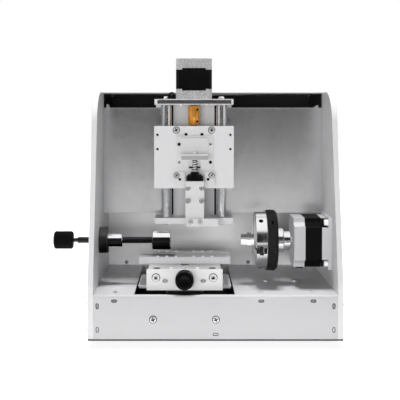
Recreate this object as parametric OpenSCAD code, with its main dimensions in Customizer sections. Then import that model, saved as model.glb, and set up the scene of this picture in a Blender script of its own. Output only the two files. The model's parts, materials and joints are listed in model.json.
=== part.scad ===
// Desktop engraving machine with an open front, for rings and small flat pieces.
// A work piece is held in the self-centring vise, or between the chuck and the tailstock.
// Frame: +X to the right, +Y from the front to the rear, +Z up.
// Origin: centre of the underside of the bottom plate. Depths are counted from the front panel.

/* [Housing] */
// Width over both side panels
case_w = 280; // [279:0.5:284]
// Depth of the housing
case_d = 240; // [238:1:260]
// Height of the side panels over the bottom plate's underside
case_h = 274; // [273:0.5:280]
// Thickness of a side panel
side_t = 6; // [5:0.5:6]
// Thickness of the folded sheets
sheet_t = 1.5; // [1:0.5:1.5]
// Height of the deck over the bottom plate's underside
deck_z = 50; // [49.5:0.5:50.5]
// Thickness of the bottom plate
floor_t = 2; // [1.5:0.5:2]
// How far the front edge of a side panel leans back at its top
lean = 55; // [40:1:60]
// Radius of the rounded top front corner of a side panel
corner_r = 45; // [20:1:45]
// Height of a rubber foot
foot_h = 8; // [6:1:9]

/* [Chuck and tailstock] */
// Height of the turning axis
axis_z = 100; // [100:0.5:101]
// Depth of the turning axis behind the front panel
axis_d = 72; // [71:0.5:73]
// Diameter of the chuck body
chuck_dia = 66; // [62:0.5:66]
// Diameter of the scroll ring
ring_dia = 71; // [69:0.5:72]
// Side of the chuck motor's square face
chuck_motor_w = 56.4; // [56:0.1:57]
// Diameter of the threaded tailstock rod
tail_rod_dia = 7.8; // [7:0.1:7.8]

/* [Vise and table drive] */
// Position of the vise centre across the machine
vise_x = -34; // [-35:0.5:-33]
// Width of a vise jaw
jaw_w = 105; // [96:1:105]
// Width of the vise body
vise_w = 84.6; // [82:0.2:86]
// Distance between the two table rods
y_rod_gap = 68.7; // [68:0.1:69]
// Diameter of the vise knob
knob_dia = 20.4; // [18:0.2:21]

/* [Engraving head] */
// Position of the head centre across the machine
head_x = -23.3; // [-24:0.1:-23]
// Distance between the two head rods
z_rod_gap = 66; // [65:0.5:67]
// Diameter of the head rods
z_rod_dia = 12; // [10:1:12]
// Width of the carriage plate
carriage_w = 94; // [92:0.5:94]
// Side of the small motors' square face
small_motor_w = 42.3; // [42:0.1:42.4]
// Height of the head motor's body
head_motor_h = 47.5; // [40:0.5:48]

/* [Hidden] */
$fn = 48;

inner_x = case_w / 2 - side_t;
axis_y = axis_d - case_d / 2;
run_gap = 0.05;      // radial gap of a running or sliding fit
eps = 0.5;           // how far a cutter runs past a face

// Upper panel, rear wall and cover
panel_d = 122;
panel_t = 2.5;
panel_z = [126, 255.5];
rear_wall_d = 185;
rear_wall_top = 140;
cover_d = 119;
cover_t = 2;
rear_corner_r = 10;

// Deck opening
slot_x = [vise_x - 55.5, vise_x + 55.5];
slot_d = [6, 180];

// Table drive
y_axis_z = 23.6;
y_rod_r = 6;
y_rod_end_d = 176;
screw_r = 4;

// Cross drive behind the upper panel
x_rod_d = 157;
x_rod_z = [150, 236];
x_screw_z = 193;
x_rod_r = 5;

// Engraving head
z_axis_d = 97;
z_axis_y = z_axis_d - case_d / 2;
top_plate_z = [259, 265.6];
bottom_plate_z = [117, 124];
carriage_z = [160.2, 233.8];
carriage_d = [79, 87];
arm_x = head_x + 0.9;
pad_d = 75;          // face of the float guide
arm_w = 21.8;
stud_d = 64;
shelf_z = [195, 201.5];

// Vise
vise_d = [19, 122];
vise_z = [52, 75.6];
vise_mid_d = 72.5;
vise_screw_z = 65.6;
jaw_z = [75.7, 83.5];
jaw_d = 22.3;

// Chuck, from its front face towards the motor
chuck_x = [47, 60.5];
ring_x = [60.9, 73];
hub_x = [73.3, 81.4];
collar_x = [81.4, 89.6];
motor_x = [91.4, 104, 123, 129.8];
jaw_nose_x = 31.5;
jaw_angle = -13.7;   // first jaw, from straight forward towards up

// A box given by its limits across, in depth and in height
module slab(x, d, z) {
    translate([x[0], d[0] - case_d / 2, z[0]])
        cube([x[1] - x[0], d[1] - d[0], z[1] - z[0]]);
}

// Cylinders along the three axes, given by their limits
module x_cyl(r, x, d, z) {
    translate([x[0], d - case_d / 2, z]) rotate([0, 90, 0]) cylinder(r = r, h = x[1] - x[0]);
}

module y_cyl(r, x, d, z) {
    translate([x, d[0] - case_d / 2, z]) rotate([-90, 0, 0]) cylinder(r = r, h = d[1] - d[0]);
}

module z_cyl(r, x, d, z) {
    translate([x, d - case_d / 2, z[0]]) cylinder(r = r, h = z[1] - z[0]);
}

// A turned piece on the turning axis: points are [x, radius]
module on_axis() {
    translate([0, axis_y, axis_z]) rotate([0, 90, 0]) children();
}

// Square motor section with cut corners
module motor_section(w, cut) {
    h = w / 2;
    polygon([
        [h, cut - h], [h, h - cut], [h - cut, h], [cut - h, h],
        [-h, h - cut], [-h, cut - h], [cut - h, -h], [h - cut, -h]
    ]);
}

// Square motor section with a stepped chamfer along each corner
module notched_section(w, leg, step) {
    h = w / 2;
    polygon([
        for (k = [0:3], p = [[h, h - leg], [h - step, h - leg], [h - leg, h - step], [h - leg, h]])
            let (c = cos(90 * k), s = sin(90 * k)) [p[0] * c - p[1] * s, p[0] * s + p[1] * c]
    ]);
}

// Small closed motor with a front boss, its shaft hole along +Z from z = 0
module small_motor(length) {
    difference() {
        union() {
            linear_extrude(length) motor_section(small_motor_w, 3);
            translate([0, 0, length]) cylinder(r = 11, h = 2);
        }
        translate([0, 0, length - 20]) cylinder(r = screw_r + run_gap, h = 22 + eps);
    }
}

// Flat slot mark with round ends, a through cutter along Y
module obround_y(length, width, upright) {
    turn = upright ? 90 : 0;
    rotate([-90, turn, 0]) linear_extrude(10) {
        square([length - width, width], center = true);
        for (s = [-1, 1]) translate([s * (length - width) / 2, 0]) circle(d = width);
    }
}

/* ---- housing ---- */

// Where the corner brackets sit: [x, depth, z, upright]
front_marks = [
    [-111, 44, false], [50, 44, false], [107, 44, false],
    [-129.5, 38.3, true], [-129.5, 12.3, true], [129.5, 38.3, true], [129.5, 12.3, true],
    [0.2, 7.2, false]
];

// Front panel and deck, one folded sheet
module base_profile() {
    bend = 2.5;
    difference() {
        union() {
            translate([0, floor_t]) square([rear_wall_d, deck_z - floor_t - bend]);
            translate([bend, floor_t]) square([rear_wall_d - bend, deck_z - floor_t]);
            translate([bend, deck_z - bend]) circle(r = bend);
        }
        translate([sheet_t, 0]) square([rear_wall_d, deck_z - bend]);
        translate([bend, 0]) square([rear_wall_d, deck_z - sheet_t]);
        translate([bend, deck_z - bend]) circle(r = bend - sheet_t);
    }
}

module base_shell() {
    notch_r = 55;
    color("silver") difference() {
        translate([-inner_x, -case_d / 2, 0]) rotate([90, 0, 90])
            linear_extrude(2 * inner_x) base_profile();
        slab(slot_x, slot_d, [deck_z - 5, deck_z + 5]);
        z_cyl(notch_r, vise_x, notch_r + 2, [deck_z - 5, deck_z + 5]);
        for (m = front_marks)
            translate([m[0], -case_d / 2 - 5, m[1]]) obround_y(6.4, 3.4, m[2]);
        for (s = [-1, 1]) y_cyl(2.2, vise_x + s * y_rod_gap / 2, [-1, 5], y_axis_z);
    }
}

module bottom_plate() {
    color("silver") difference() {
        slab([-case_w / 2, case_w / 2], [0, case_d], [0, floor_t]);
        for (x = [-105, 105], d = [48, 200]) z_cyl(2.1, x, d, [-1, 5]);
        for (i = [-4:4]) slab([i * 12 - 2, i * 12 + 2], [196, 226], [-1, 5]);
    }
}

// Side view of a side panel: upright at the base, leaning back, rounded at the top
module side_profile() {
    base = 60;
    rise = case_h - base;
    slope = atan(lean / rise);
    run = corner_r * tan((90 - slope) / 2);
    low = [lean - run * sin(slope), case_h - run * cos(slope)];
    centre = [lean + run, case_h - corner_r];
    back = case_d - rear_corner_r;
    difference() {
        polygon([[0, floor_t], [0, base], [lean, case_h], [case_d, case_h], [case_d, floor_t]]);
        difference() {
            translate([0, case_h - corner_r]) square([centre[0], 2 * corner_r]);
            translate(centre) circle(r = corner_r);
            polygon([[0, 0], low, centre, [case_d, case_h - corner_r], [case_d, 0]]);
        }
        difference() {
            translate([back, case_h - rear_corner_r]) square(2 * rear_corner_r);
            translate([back, case_h - rear_corner_r]) circle(r = rear_corner_r);
        }
    }
}

// Screws that hold the sheets to the side panels: [depth, z]
side_screws = [
    [7, 38.3], [7, 12.3], [128, 140], [128, 240], [234, 20], [234, 130], [234, 255], [150, 268]
];

module side_panel(x) {
    translate([x, -case_d / 2, 0]) rotate([90, 0, 90]) linear_extrude(side_t) side_profile();
}

module left_side_panel() {
    cut = [-case_w / 2 - eps, -inner_x + eps];
    color("silver") difference() {
        side_panel(-case_w / 2);
        x_cyl(7.7, cut, axis_d, axis_z);
        x_cyl(screw_r + run_gap, [-inner_x - 4, -inner_x + eps], x_rod_d, x_screw_z);
    }
}

module right_side_panel() {
    cut = [inner_x - eps, case_w / 2 + eps];
    color("silver") difference() {
        side_panel(inner_x);
        x_cyl(6, cut, axis_d, axis_z);
    }
}

// Wall behind the work space, standing on the rear edge of the deck
module rear_wall() {
    color("silver") difference() {
        slab([-inner_x, inner_x], [rear_wall_d, rear_wall_d + sheet_t], [30, rear_wall_top]);
        for (x = [100, 112]) y_cyl(3, x, [rear_wall_d - 1, rear_wall_d + 5], 128);
    }
}

// Panel behind the engraving head, with a small ear at each top corner
module upper_panel() {
    chamfer = 0.8;
    color("lightgray") {
        translate([-inner_x, -case_d / 2, 0]) rotate([90, 0, 90])
            linear_extrude(2 * inner_x) polygon([
                [panel_d, panel_z[0]], [panel_d, panel_z[1] - chamfer],
                [panel_d + chamfer, panel_z[1]], [panel_d + panel_t, panel_z[1]],
                [panel_d + panel_t, panel_z[0]]
            ]);
        translate([0, panel_d + panel_t - case_d / 2, panel_z[1] - eps]) rotate([90, 0, 0])
            linear_extrude(panel_t - chamfer) {
                polygon([[-130.6, 0], [-130.6, 4.8], [-129, 4.8], [-127, 3.6], [-127, 0]]);
                polygon([[124, 0], [125.4, 2], [128.6, 3.4], [129.6, 3.4], [129.6, 0]]);
            }
    }
}

// Top and rear of the housing, one folded sheet with vents and the inlet openings
module back_cover() {
    x = [-inner_x, inner_x];
    color("silver") difference() {
        union() {
            slab(x, [cover_d, case_d], [case_h - cover_t, case_h]);
            slab(x, [case_d - cover_t, case_d], [floor_t, case_h - 1]);
        }
        difference() {
            slab([x[0] - 1, x[1] + 1], [case_d - 4, case_d + 1], [case_h - 4, case_h + 1]);
            translate([0, case_d / 2 - 4, case_h - 4]) rotate([0, 90, 0])
                cylinder(r = 4, h = 2 * case_w, center = true);
        }
        for (k = [0:1], i = [-5:5])
            slab([i * 9 - 2, i * 9 + 2], [case_d - 5, case_d + 5],
                [170 + k * 40, 200 + k * 40]);
        slab([66, 114], [case_d - 5, case_d + 5], [22, 50]);
        slab([28, 40.5], [case_d - 5, case_d + 5], [62, 73.5]);
    }
}

module rubber_feet() {
    color("dimgray") for (x = [-105, 105], d = [48, 200])
        translate([x, d - case_d / 2, -foot_h]) rotate_extrude() polygon([
            [4, 1], [4, 0], [8.2, 0], [9, 0.8], [10, foot_h], [2, foot_h], [2, 3.5], [4, 3.5]
        ]);
}

// Small angle brackets behind the seams, each with a stud in its slot in the front panel
module bracket_stud(m) {
    translate([m[0], -case_d / 2, m[1]]) intersection() {
        translate([0, 0.3, 0]) obround_y(5.5, 2.5, m[2]);
        cube([20, 2 * sheet_t, 20], center = true);
    }
}

// Bent angle: legs along +X and -Y from its outer bend, which clears the fold it sits in
module angle_piece() {
    leg = 9;
    t = 1.5;
    bend = 1.1;
    linear_extrude(10, center = true) polygon([
        [0, -bend], [bend, 0], [leg, 0], [leg, -t], [t, -t], [t, -leg], [0, -leg]
    ]);
}

module corner_brackets() {
    inner_d = sheet_t - case_d / 2;
    color("gainsboro") {
        for (m = front_marks) bracket_stud(m);
        for (x = [-111, 50, 107])
            translate([x, inner_d, deck_z - sheet_t]) rotate([90, 0, 90]) angle_piece();
        for (side = [0, 1], z = [12.3, 38.3]) mirror([side, 0, 0])
            translate([-inner_x, inner_d, z]) rotate([0, 0, 90]) angle_piece();
        translate([0.2, inner_d, floor_t]) rotate([-90, 0, 90]) angle_piece();
    }
}

// Domed screw head on a face, pointing along +Z
module dome_head(r, h) {
    rotate_extrude() polygon([
        [0, 0], [r, 0], [r * 0.96, h * 0.45], [r * 0.7, h * 0.9], [r * 0.52, h],
        [r * 0.5, h], [r * 0.5, h * 0.4], [0, h * 0.4]
    ]);
}

module panel_screws() {
    r = 2.9;
    h = 1.8;
    color("gray") {
        for (p = [[-111, 14], [50, 15], [107, 15], [61, 75], [95, 75]])
            translate([p[0], p[1] - case_d / 2, deck_z]) dome_head(r, h);
        for (x = [-111, 48, 107])
            translate([x, rear_wall_d - case_d / 2, deck_z + 3.6]) rotate([90, 0, 0])
                dome_head(r, h);
        for (p = side_screws) {
            translate([-case_w / 2, p[0] - case_d / 2, p[1]]) rotate([0, -90, 0])
                dome_head(r, 1.4);
            translate([case_w / 2, p[0] - case_d / 2, p[1]]) rotate([0, 90, 0])
                dome_head(r, 1.4);
        }
        for (s = [-1, 1])
            translate([vise_x + s * y_rod_gap / 2, -case_d / 2, y_axis_z]) rotate([90, 0, 0])
                dome_head(3.75, 2.4);
    }
}

/* ---- table drive in the base ---- */

module y_rods() {
    color("whitesmoke") for (s = [-1, 1])
        y_cyl(y_rod_r, vise_x + s * y_rod_gap / 2, [sheet_t, y_rod_end_d], y_axis_z);
}

// Table motor under the deck and cross motor behind the upper panel
module drive_motors() {
    color("black") translate([vise_x, 6 - case_d / 2, y_axis_z]) rotate([-90, 0, 0])
        small_motor(40);
    color("black") translate([109, x_rod_d - case_d / 2, x_screw_z]) rotate([0, -90, 0])
        small_motor(38);
}

// Plate of the table motor, bearing block of the table rods, angle of the cross motor
module drive_brackets() {
    foot = panel_d + panel_t;
    color("silver") {
        difference() {
            slab([vise_x - 21.6, vise_x + 21.6], [46, 50], [floor_t, 46]);
            y_cyl(11.1, vise_x, [45, 51], y_axis_z);
        }
        difference() {
            slab([vise_x - 48, vise_x + 48], [168, 178], [floor_t, 40]);
            y_cyl(screw_r + run_gap, vise_x, [167, 179], y_axis_z);
            for (s = [-1, 1])
                y_cyl(y_rod_r + 0.02, vise_x + s * y_rod_gap / 2, [167, 179], y_axis_z);
        }
        difference() {
            union() {
                slab([67, 71], [foot, 180], [170, 216]);
                slab([71, 90], [foot, foot + 4], [170, 216]);
            }
            x_cyl(11.1, [66, 72], x_rod_d, x_screw_z);
        }
    }
}

/* ---- cross drive and electrics behind the upper panel ---- */

module x_rods() {
    color("whitesmoke") for (z = x_rod_z) x_cyl(x_rod_r, [-inner_x, inner_x], x_rod_d, z);
}

module control_board() {
    d = case_d - cover_t;
    color("darkgreen") {
        slab([-110, 50], [d - 9.6, d - 8], [60, 160]);
        for (x = [-104, 44], z = [66, 154]) y_cyl(3, x, [d - 8, d], z);
        for (i = [0:2]) slab([i * 32 - 92, i * 32 - 72], [d - 22, d - 9.6], [110, 130]);
        for (x = [-30, 0, 20]) y_cyl(6, x, [d - 26, d - 9.6], 80);
        slab([28.2, 40.3], [d - 8.5, d + 1.5], [62.2, 73.3]);
    }
}

module power_inlet() {
    d = case_d;
    color("black") {
        difference() {
            slab([64, 116], [d, d + 2], [19, 53]);
            slab([69, 94], [d - 5, d + 5], [26, 46]);
        }
        difference() {
            slab([66.2, 113.8], [d - 22, d], [22.2, 49.8]);
            slab([69, 94], [d - 16, d + 5], [26, 46]);
        }
        for (x = [75, 81.5, 88]) slab([x - 1, x + 1], [d - 16.2, d - 5], [35, 37.5]);
        slab([98, 110], [d + 1.5, d + 5], [27, 45]);
    }
}

/* ---- chuck motor on the right side panel ---- */

shaft_bore = 4.05;

module chuck_motor_part(x, leg, step) {
    translate([x[0], axis_y, axis_z]) rotate([0, 90, 0]) linear_extrude(x[1] - x[0])
        difference() {
            notched_section(chuck_motor_w, leg, step);
            circle(r = shaft_bore);
        }
}

module chuck_motor_stator() {
    color("black") {
        chuck_motor_part([motor_x[1], motor_x[2]], 9.4, 4.2);
        slab([95, 103], [axis_d - 14, axis_d - 4], [axis_z - 30.5, axis_z - 28.2]);
    }
}

// Front cap, rear cap between its corner pockets, and the mounting plate with four screws
module chuck_motor_caps() {
    plate = 29.6;
    color("silver") {
        chuck_motor_part([motor_x[0], motor_x[1]], 9, 4);
        chuck_motor_part([motor_x[2], motor_x[3]], 9.6, 9.4);
        for (s = [-1, 1], t = [-1, 1])
            x_cyl(3.4, [motor_x[3] - 4, motor_x[3] + 0.1], axis_d + s * 23.6, axis_z + t * 23.6);
        difference() {
            slab([motor_x[3], inner_x], [axis_d - plate, axis_d + plate],
                [axis_z - plate, axis_z + plate]);
            x_cyl(6, [motor_x[3] - eps, inner_x + eps], axis_d, axis_z);
        }
    }
}

/* ---- tailstock on the left side panel ---- */

module tail_flange() {
    r = 15.4;
    color("dimgray") on_axis() rotate_extrude() polygon([
        [7.65, -inner_x], [r, -inner_x], [r, -125.2], [r - 1.2, -124], [7.65, -124]
    ]);
}

module tail_bush() {
    r = 7.65;
    bore = tail_rod_dia / 2 + run_gap;
    color("silver") on_axis() rotate_extrude() polygon([
        [bore, -139], [r, -139], [r, -108], [r - 1, -107], [bore, -107]
    ]);
}

/* ---- cross carriage: the frame of the engraving head ---- */

head_half = 46.5;

// Rear plate with the two rod bearings and the nut, all one block
module x_carriage() {
    x = [head_x - head_half, head_x + head_half];
    block = [head_x - 20, head_x + 20];
    color("silver") difference() {
        union() {
            slab(x, [127, 133], [bottom_plate_z[1], top_plate_z[0]]);
            for (z = x_rod_z) slab(block, [133, 169], [z - 12, z + 12]);
            slab([head_x - 12, head_x + 12], [133, 169], [x_screw_z - 12, x_screw_z + 12]);
        }
        for (z = x_rod_z)
            x_cyl(x_rod_r + run_gap, [block[0] - eps, block[1] + eps], x_rod_d, z);
        x_cyl(screw_r + run_gap, [head_x - 13, head_x + 13], x_rod_d, x_screw_z);
        slab([head_x - 35, head_x + 35], [126, 134], [166, 176]);
        slab([head_x - 35, head_x + 35], [126, 134], [210, 220]);
    }
}

module z_top_plate() {
    x = [head_x - head_half, head_x + head_half];
    color("silver") difference() {
        slab(x, [79, 133], top_plate_z);
        slab([x[0] + 3.4, x[1] - 2.4], [78, 80], [top_plate_z[0] + 1, top_plate_z[1] - 1]);
        z_cyl(11.1, head_x, z_axis_d, [top_plate_z[0] - eps, top_plate_z[1] + eps]);
    }
}

module z_bottom_plate() {
    x = [head_x - head_half, head_x + head_half];
    color("silver") difference() {
        slab(x, [86, 133], bottom_plate_z);
        z_cyl(screw_r + run_gap, head_x, z_axis_d, [bottom_plate_z[0] - eps, 130]);
    }
}

module z_back_plate() {
    color("lightgray") difference() {
        slab([head_x - 27, head_x + 27], [112, 118], [bottom_plate_z[1], top_plate_z[0]]);
        for (z = [150, 192, 234]) y_cyl(2.6, head_x, [111, 119], z);
    }
}

module z_rods() {
    color("whitesmoke") for (s = [-1, 1])
        z_cyl(z_rod_dia / 2, head_x + s * z_rod_gap / 2, z_axis_d,
            [bottom_plate_z[1], top_plate_z[0]]);
}

// Height of the motor's lower cap, its windings and its upper cap
head_motor_z = top_plate_z[1];
stator_z = [head_motor_z + 11.8, head_motor_z + 34.4];
rib_w = 28;
rib_h = 2;

module motor_ribs(z) {
    for (a = [0, 90]) translate([head_x, z_axis_y, z]) rotate([0, 0, a])
        translate([-rib_w / 2, -small_motor_w / 2, 0]) cube([rib_w, small_motor_w, rib_h]);
}

module z_motor_stator() {
    color("black") {
        translate([head_x, z_axis_y, stator_z[0]]) linear_extrude(stator_z[1] - stator_z[0])
            motor_section(small_motor_w, 3);
        motor_ribs(stator_z[0] - rib_h);
        motor_ribs(stator_z[1]);
    }
}

module z_motor_caps() {
    top = head_motor_z + head_motor_h;
    bore = [head_motor_z - eps, head_motor_z + 9];
    color("silver") difference() {
        union() {
            translate([head_x, z_axis_y, head_motor_z])
                linear_extrude(stator_z[0] - head_motor_z) motor_section(small_motor_w, 4);
            translate([head_x, z_axis_y, stator_z[1]])
                linear_extrude(top - stator_z[1]) motor_section(small_motor_w, 4);
        }
        motor_ribs(stator_z[0] - rib_h);
        motor_ribs(stator_z[1]);
        z_cyl(screw_r + run_gap, head_x, z_axis_d, bore);
    }
}

module z_frame_screws() {
    color("gainsboro") {
        for (s = [-1, 1], d = [z_axis_d, 124])
            translate([head_x + s * z_rod_gap / 2, d - case_d / 2, top_plate_z[1]])
                dome_head(3.6, 3.2);
        for (s = [-1, 1])
            translate([head_x + s * 15.5, z_axis_y - 15.5, top_plate_z[0]])
                rotate([180, 0, 0]) dome_head(2.8, 2.2);
        for (s = [-1, 1], d = [z_axis_d, 124])
            translate([head_x + s * z_rod_gap / 2, d - case_d / 2, bottom_plate_z[0]])
                rotate([180, 0, 0]) dome_head(3.2, 2);
    }
}

// Clip for the motor lead beside the head motor, an arch on a foot
module cable_clip() {
    x = -49.6;
    z = top_plate_z[1];
    color("black") difference() {
        union() {
            slab([x - 4.8, x + 4.8], [82, 92], [z, z + 5]);
            y_cyl(3.4, x, [82, 92], z + 5);
        }
        y_cyl(1.7, x, [81, 93], z + 4.6);
    }
}

// Cross screw with its journal in the motor and in the left side panel
module x_screw() {
    color("lightgray") x_cyl(screw_r, [-inner_x - 3, 88], x_rod_d, x_screw_z);
}

/* ---- head carriage ---- */

cap_screw_x = 20.8;
cap_screw_z = [176, 229];
slot_w = 14;         // slot of the float guide that the tool arm's slide runs in

module carriage_plate() {
    x = [head_x - carriage_w / 2, head_x + carriage_w / 2];
    color("silver") difference() {
        slab(x, carriage_d, carriage_z);
        slab([arm_x - slot_w / 2, arm_x + slot_w / 2], [carriage_d[0] - 1, carriage_d[0] + 5],
            [carriage_z[0] + 6, 186]);
        for (s = [-1, 1], z = [206.5, 223.4])
            y_cyl(1.5, head_x + s * 43, [carriage_d[0] - 1, carriage_d[0] + 5], z);
        for (s = [-1, 1])
            y_cyl(1.9, head_x + s * 9.4, [carriage_d[0] - 1, carriage_d[0] + 4], 223.8);
    }
}

// One block behind the carriage plate: two rod bearings and the nut of the head screw
module z_slide_block() {
    x = [head_x - carriage_w / 2 + 1.5, head_x + carriage_w / 2 - 1.5];
    z = [168, 226];
    cut = [z[0] - eps, z[1] + eps];
    color("gainsboro") difference() {
        slab(x, [carriage_d[1], 109], z);
        for (s = [-1, 1])
            z_cyl(z_rod_dia / 2 + run_gap, head_x + s * z_rod_gap / 2, z_axis_d, cut);
        z_cyl(screw_r + run_gap, head_x, z_axis_d, cut);
        slab([head_x - 22, head_x + 22], [104, 110], cut);
        slab([head_x - 22, head_x + 22], [86, 110], [196, 227]);
    }
}

// Raised guide on the carriage: a flat with a dovetail slot, and a keeper on either side
module float_guide() {
    half = 21.4;
    flat_z = [161, 222.5];
    keeper_z = [163, 180.5];
    inner = arm_w / 2 + 0.5;
    color("silver") difference() {
        union() {
            slab([arm_x - half, arm_x + half], [pad_d, carriage_d[0]], flat_z);
            for (s = [-1, 1]) {
                k = s > 0 ? [arm_x + inner, arm_x + half + 2] : [arm_x - half - 2, arm_x - inner];
                slab(k, [pad_d - 3, pad_d], keeper_z);
            }
        }
        slab([arm_x - slot_w / 2, arm_x + slot_w / 2], [pad_d - 1, carriage_d[0] + 1],
            [160, 192]);
        for (s = [-1, 1])
            y_cyl(1.7, head_x + s * 16.6, [pad_d - 4, pad_d - 0.5], 171.4);
    }
}

// Angle that the pressure spring bears against
module spring_bracket() {
    half = 15.8;
    front = 56;
    color("silver") difference() {
        union() {
            slab([arm_x - half, arm_x + half], [pad_d - 4, pad_d], [shelf_z[0], 220]);
            slab([arm_x - half, arm_x + half], [front, pad_d - 4], shelf_z);
        }
        z_cyl(2.6, arm_x, stud_d, [shelf_z[0] - 1, shelf_z[1] + 1]);
    }
}

module cap_head(r, h) {
    difference() {
        cylinder(r = r, h = h);
        translate([0, 0, h * 0.4]) cylinder(r = r * 0.5, h = h, $fn = 6);
    }
}

module carriage_screws() {
    color("gray") {
        for (s = [-1, 1], z = cap_screw_z)
            if (z > 200) translate([head_x + s * cap_screw_x, carriage_d[0] - case_d / 2, z])
                rotate([90, 0, 0]) cap_head(3.6, 2.4);
        for (s = [-1, 1])
            translate([head_x + s * 20.5, pad_d - 3 - case_d / 2, cap_screw_z[0]])
                rotate([90, 0, 0]) cap_head(2.9, 2);
        for (s = [-1, 1], z = [212.4, 191.3])
            translate([arm_x + s * 18.4, pad_d - case_d / 2, z]) rotate([90, 0, 0])
                cap_head(1.9, 1.4);
    }
}

couple_z = [234.6, 257.6];

// Head screw and the motor's shaft above it
module z_screw() {
    joint_z = (couple_z[0] + couple_z[1]) / 2;
    color("lightgray") {
        z_cyl(screw_r, head_x, z_axis_d, [bottom_plate_z[0] + 1, joint_z - 0.5]);
        z_cyl(screw_r, head_x, z_axis_d, [joint_z + 0.5, head_motor_z + 8]);
    }
}

// Clamp coupling with its slot and two clamp screws
module z_coupling() {
    couple_r = 7;
    color("darkgoldenrod") difference() {
        z_cyl(couple_r, head_x, z_axis_d, couple_z);
        z_cyl(screw_r, head_x, z_axis_d, [couple_z[0] - 1, couple_z[1] + 1]);
        slab([head_x, head_x + 10], [z_axis_d - 0.5, z_axis_d + 0.5],
            [couple_z[0] - 1, couple_z[1] + 1]);
        for (z = [couple_z[0] + 4.5, couple_z[1] - 4.5])
            y_cyl(1.2, head_x + 5.5, [z_axis_d - 10, z_axis_d - 1], z);
    }
}

/* ---- floating tool arm ---- */

arm_front_d = 66;
foot_x = [arm_x - 9.6, arm_x + 27];
foot_d = [62, 74];
foot_z = [117.1, 126.4];
tool_x = foot_x[1] - 8;

// Arm with its slide, which fills the slot of the float guide, and the stud of the spring
module tool_arm() {
    half = arm_w / 2;
    color("silver") difference() {
        union() {
            slab([arm_x - half, arm_x + half], [arm_front_d, pad_d - 0.1], [foot_z[1], 170.2]);
            slab([arm_x - slot_w / 2 + 0.1, arm_x + slot_w / 2 - 0.1],
                [pad_d - 0.2, carriage_d[0] - 0.2], [150, 184]);
            slab([arm_x - half, arm_x + half], [59, arm_front_d + 1], [164, 170.2]);
        }
    }
    color("silver") z_cyl(2, arm_x, stud_d, [170, 204]);
    color("gray") for (s = [-1, 1], z = [147, 162])
        translate([arm_x + s * 7.9, arm_front_d - case_d / 2, z]) rotate([90, 0, 0])
            cap_head(2.2, 1.3);
}

// Bar under the arm with the bore for the engraving tool near its right end
module tool_foot() {
    color("silver") difference() {
        slab(foot_x, foot_d, foot_z);
        z_cyl(2, tool_x, 68, [foot_z[0] - 1, foot_z[1] + 1]);
        x_cyl(1.5, [tool_x + 1.9, foot_x[1] + 1], 68, 121.8);
    }
    color("gray") for (s = [-1, 1])
        translate([arm_x + s * 5.5 + 0.7, foot_d[0] - case_d / 2, 122.6]) rotate([90, 0, 0])
            cap_head(2.2, 1.3);
}

seat_z = 181;
spring_r = 3;
spring_wire = 0.4;

// Point of the spring's centre line at turn t
function coil(t, turns, z0, z1) = [
    arm_x + spring_r * cos(360 * t), stud_d - case_d / 2 + spring_r * sin(360 * t),
    z0 + (z1 - z0) * t / turns
];

// Helical pressure spring round the stud, swept with a six-sided section
module pressure_spring() {
    turns = 5;
    steps = 14;
    sides = 6;
    z0 = seat_z + 1.2 + spring_wire;
    z1 = shelf_z[0] - spring_wire;
    rings = [for (i = [0:turns * steps])
        let (t = i / steps, p = coil(t, turns, z0, z1), a = 360 * t)
        for (k = [0:sides - 1])
            let (b = 360 * k / sides, u = spring_wire * cos(b), w = spring_wire * sin(b))
            [p[0] + u * cos(a), p[1] + u * sin(a), p[2] + w]];
    last = turns * steps;
    sweep = [for (i = [0:last - 1], k = [0:sides - 1])
        let (n = (k + 1) % sides)
        [i * sides + k, (i + 1) * sides + k, (i + 1) * sides + n, i * sides + n]];
    caps = [
        [for (k = [0:sides - 1]) k],
        [for (k = [sides - 1:-1:0]) last * sides + k]
    ];
    color("dimgray") polyhedron(rings, concat(sweep, caps));
}

module spring_seat() {
    color("silver") difference() {
        z_cyl(4.4, arm_x, stud_d, [seat_z, seat_z + 1.2]);
        z_cyl(2 + run_gap, arm_x, stud_d, [seat_z - 1, seat_z + 3]);
    }
}

// Lobed thumb nut that sets the engraving pressure
module pressure_nut() {
    r = 9.9;
    lobes = 12;
    bore = 2 + run_gap;
    z0 = 170.7;
    color("black") difference() {
        translate([arm_x, stud_d - case_d / 2, z0]) rotate_extrude() polygon([
            [bore, 0], [r - 0.6, 0], [r, 0.6], [r, 4.2], [r - 0.7, 5.8], [r - 2.3, 7.2],
            [5.2, 8.1], [4.7, 9.4], [4.2, seat_z - z0], [bore, seat_z - z0]
        ]);
        for (i = [0:lobes - 1])
            translate([arm_x, stud_d - case_d / 2, z0 - 1]) rotate([0, 0, (i + 0.5) * 360 / lobes])
                translate([r + 0.5, 0, 0]) cylinder(r = 1.5, h = 12);
    }
}

/* ---- table and vise ---- */

// Plate that fills the deck opening, thinned under its front edge
module slide_plate() {
    half = 53.2;
    color("silver") difference() {
        slab([vise_x - half, vise_x + half], [45, 110], [47, vise_z[0]]);
        slab([vise_x - half - 1, vise_x + half + 1], [44, 52], [46, vise_z[0] - 1.3]);
    }
}

// Two blocks on the table rods and the nut of the table screw
module y_slide_blocks() {
    z = [12, 47];
    color("silver") difference() {
        union() {
            for (s = [-1, 1]) {
                x = vise_x + s * y_rod_gap / 2;
                slab([x - 12, x + 12], [52, 102], z);
            }
            slab([vise_x - 11, vise_x + 11], [95, 108], z);
        }
        for (s = [-1, 1])
            y_cyl(y_rod_r + run_gap, vise_x + s * y_rod_gap / 2, [51, 103], y_axis_z);
        y_cyl(screw_r + run_gap, vise_x, [94, 109], y_axis_z);
    }
}

lug_w = 19.4;        // the jaws' lugs in the channel of the vise body
neck_w = 8;          // and their necks in the slot above it
lug_top_z = 70.6;

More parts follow.
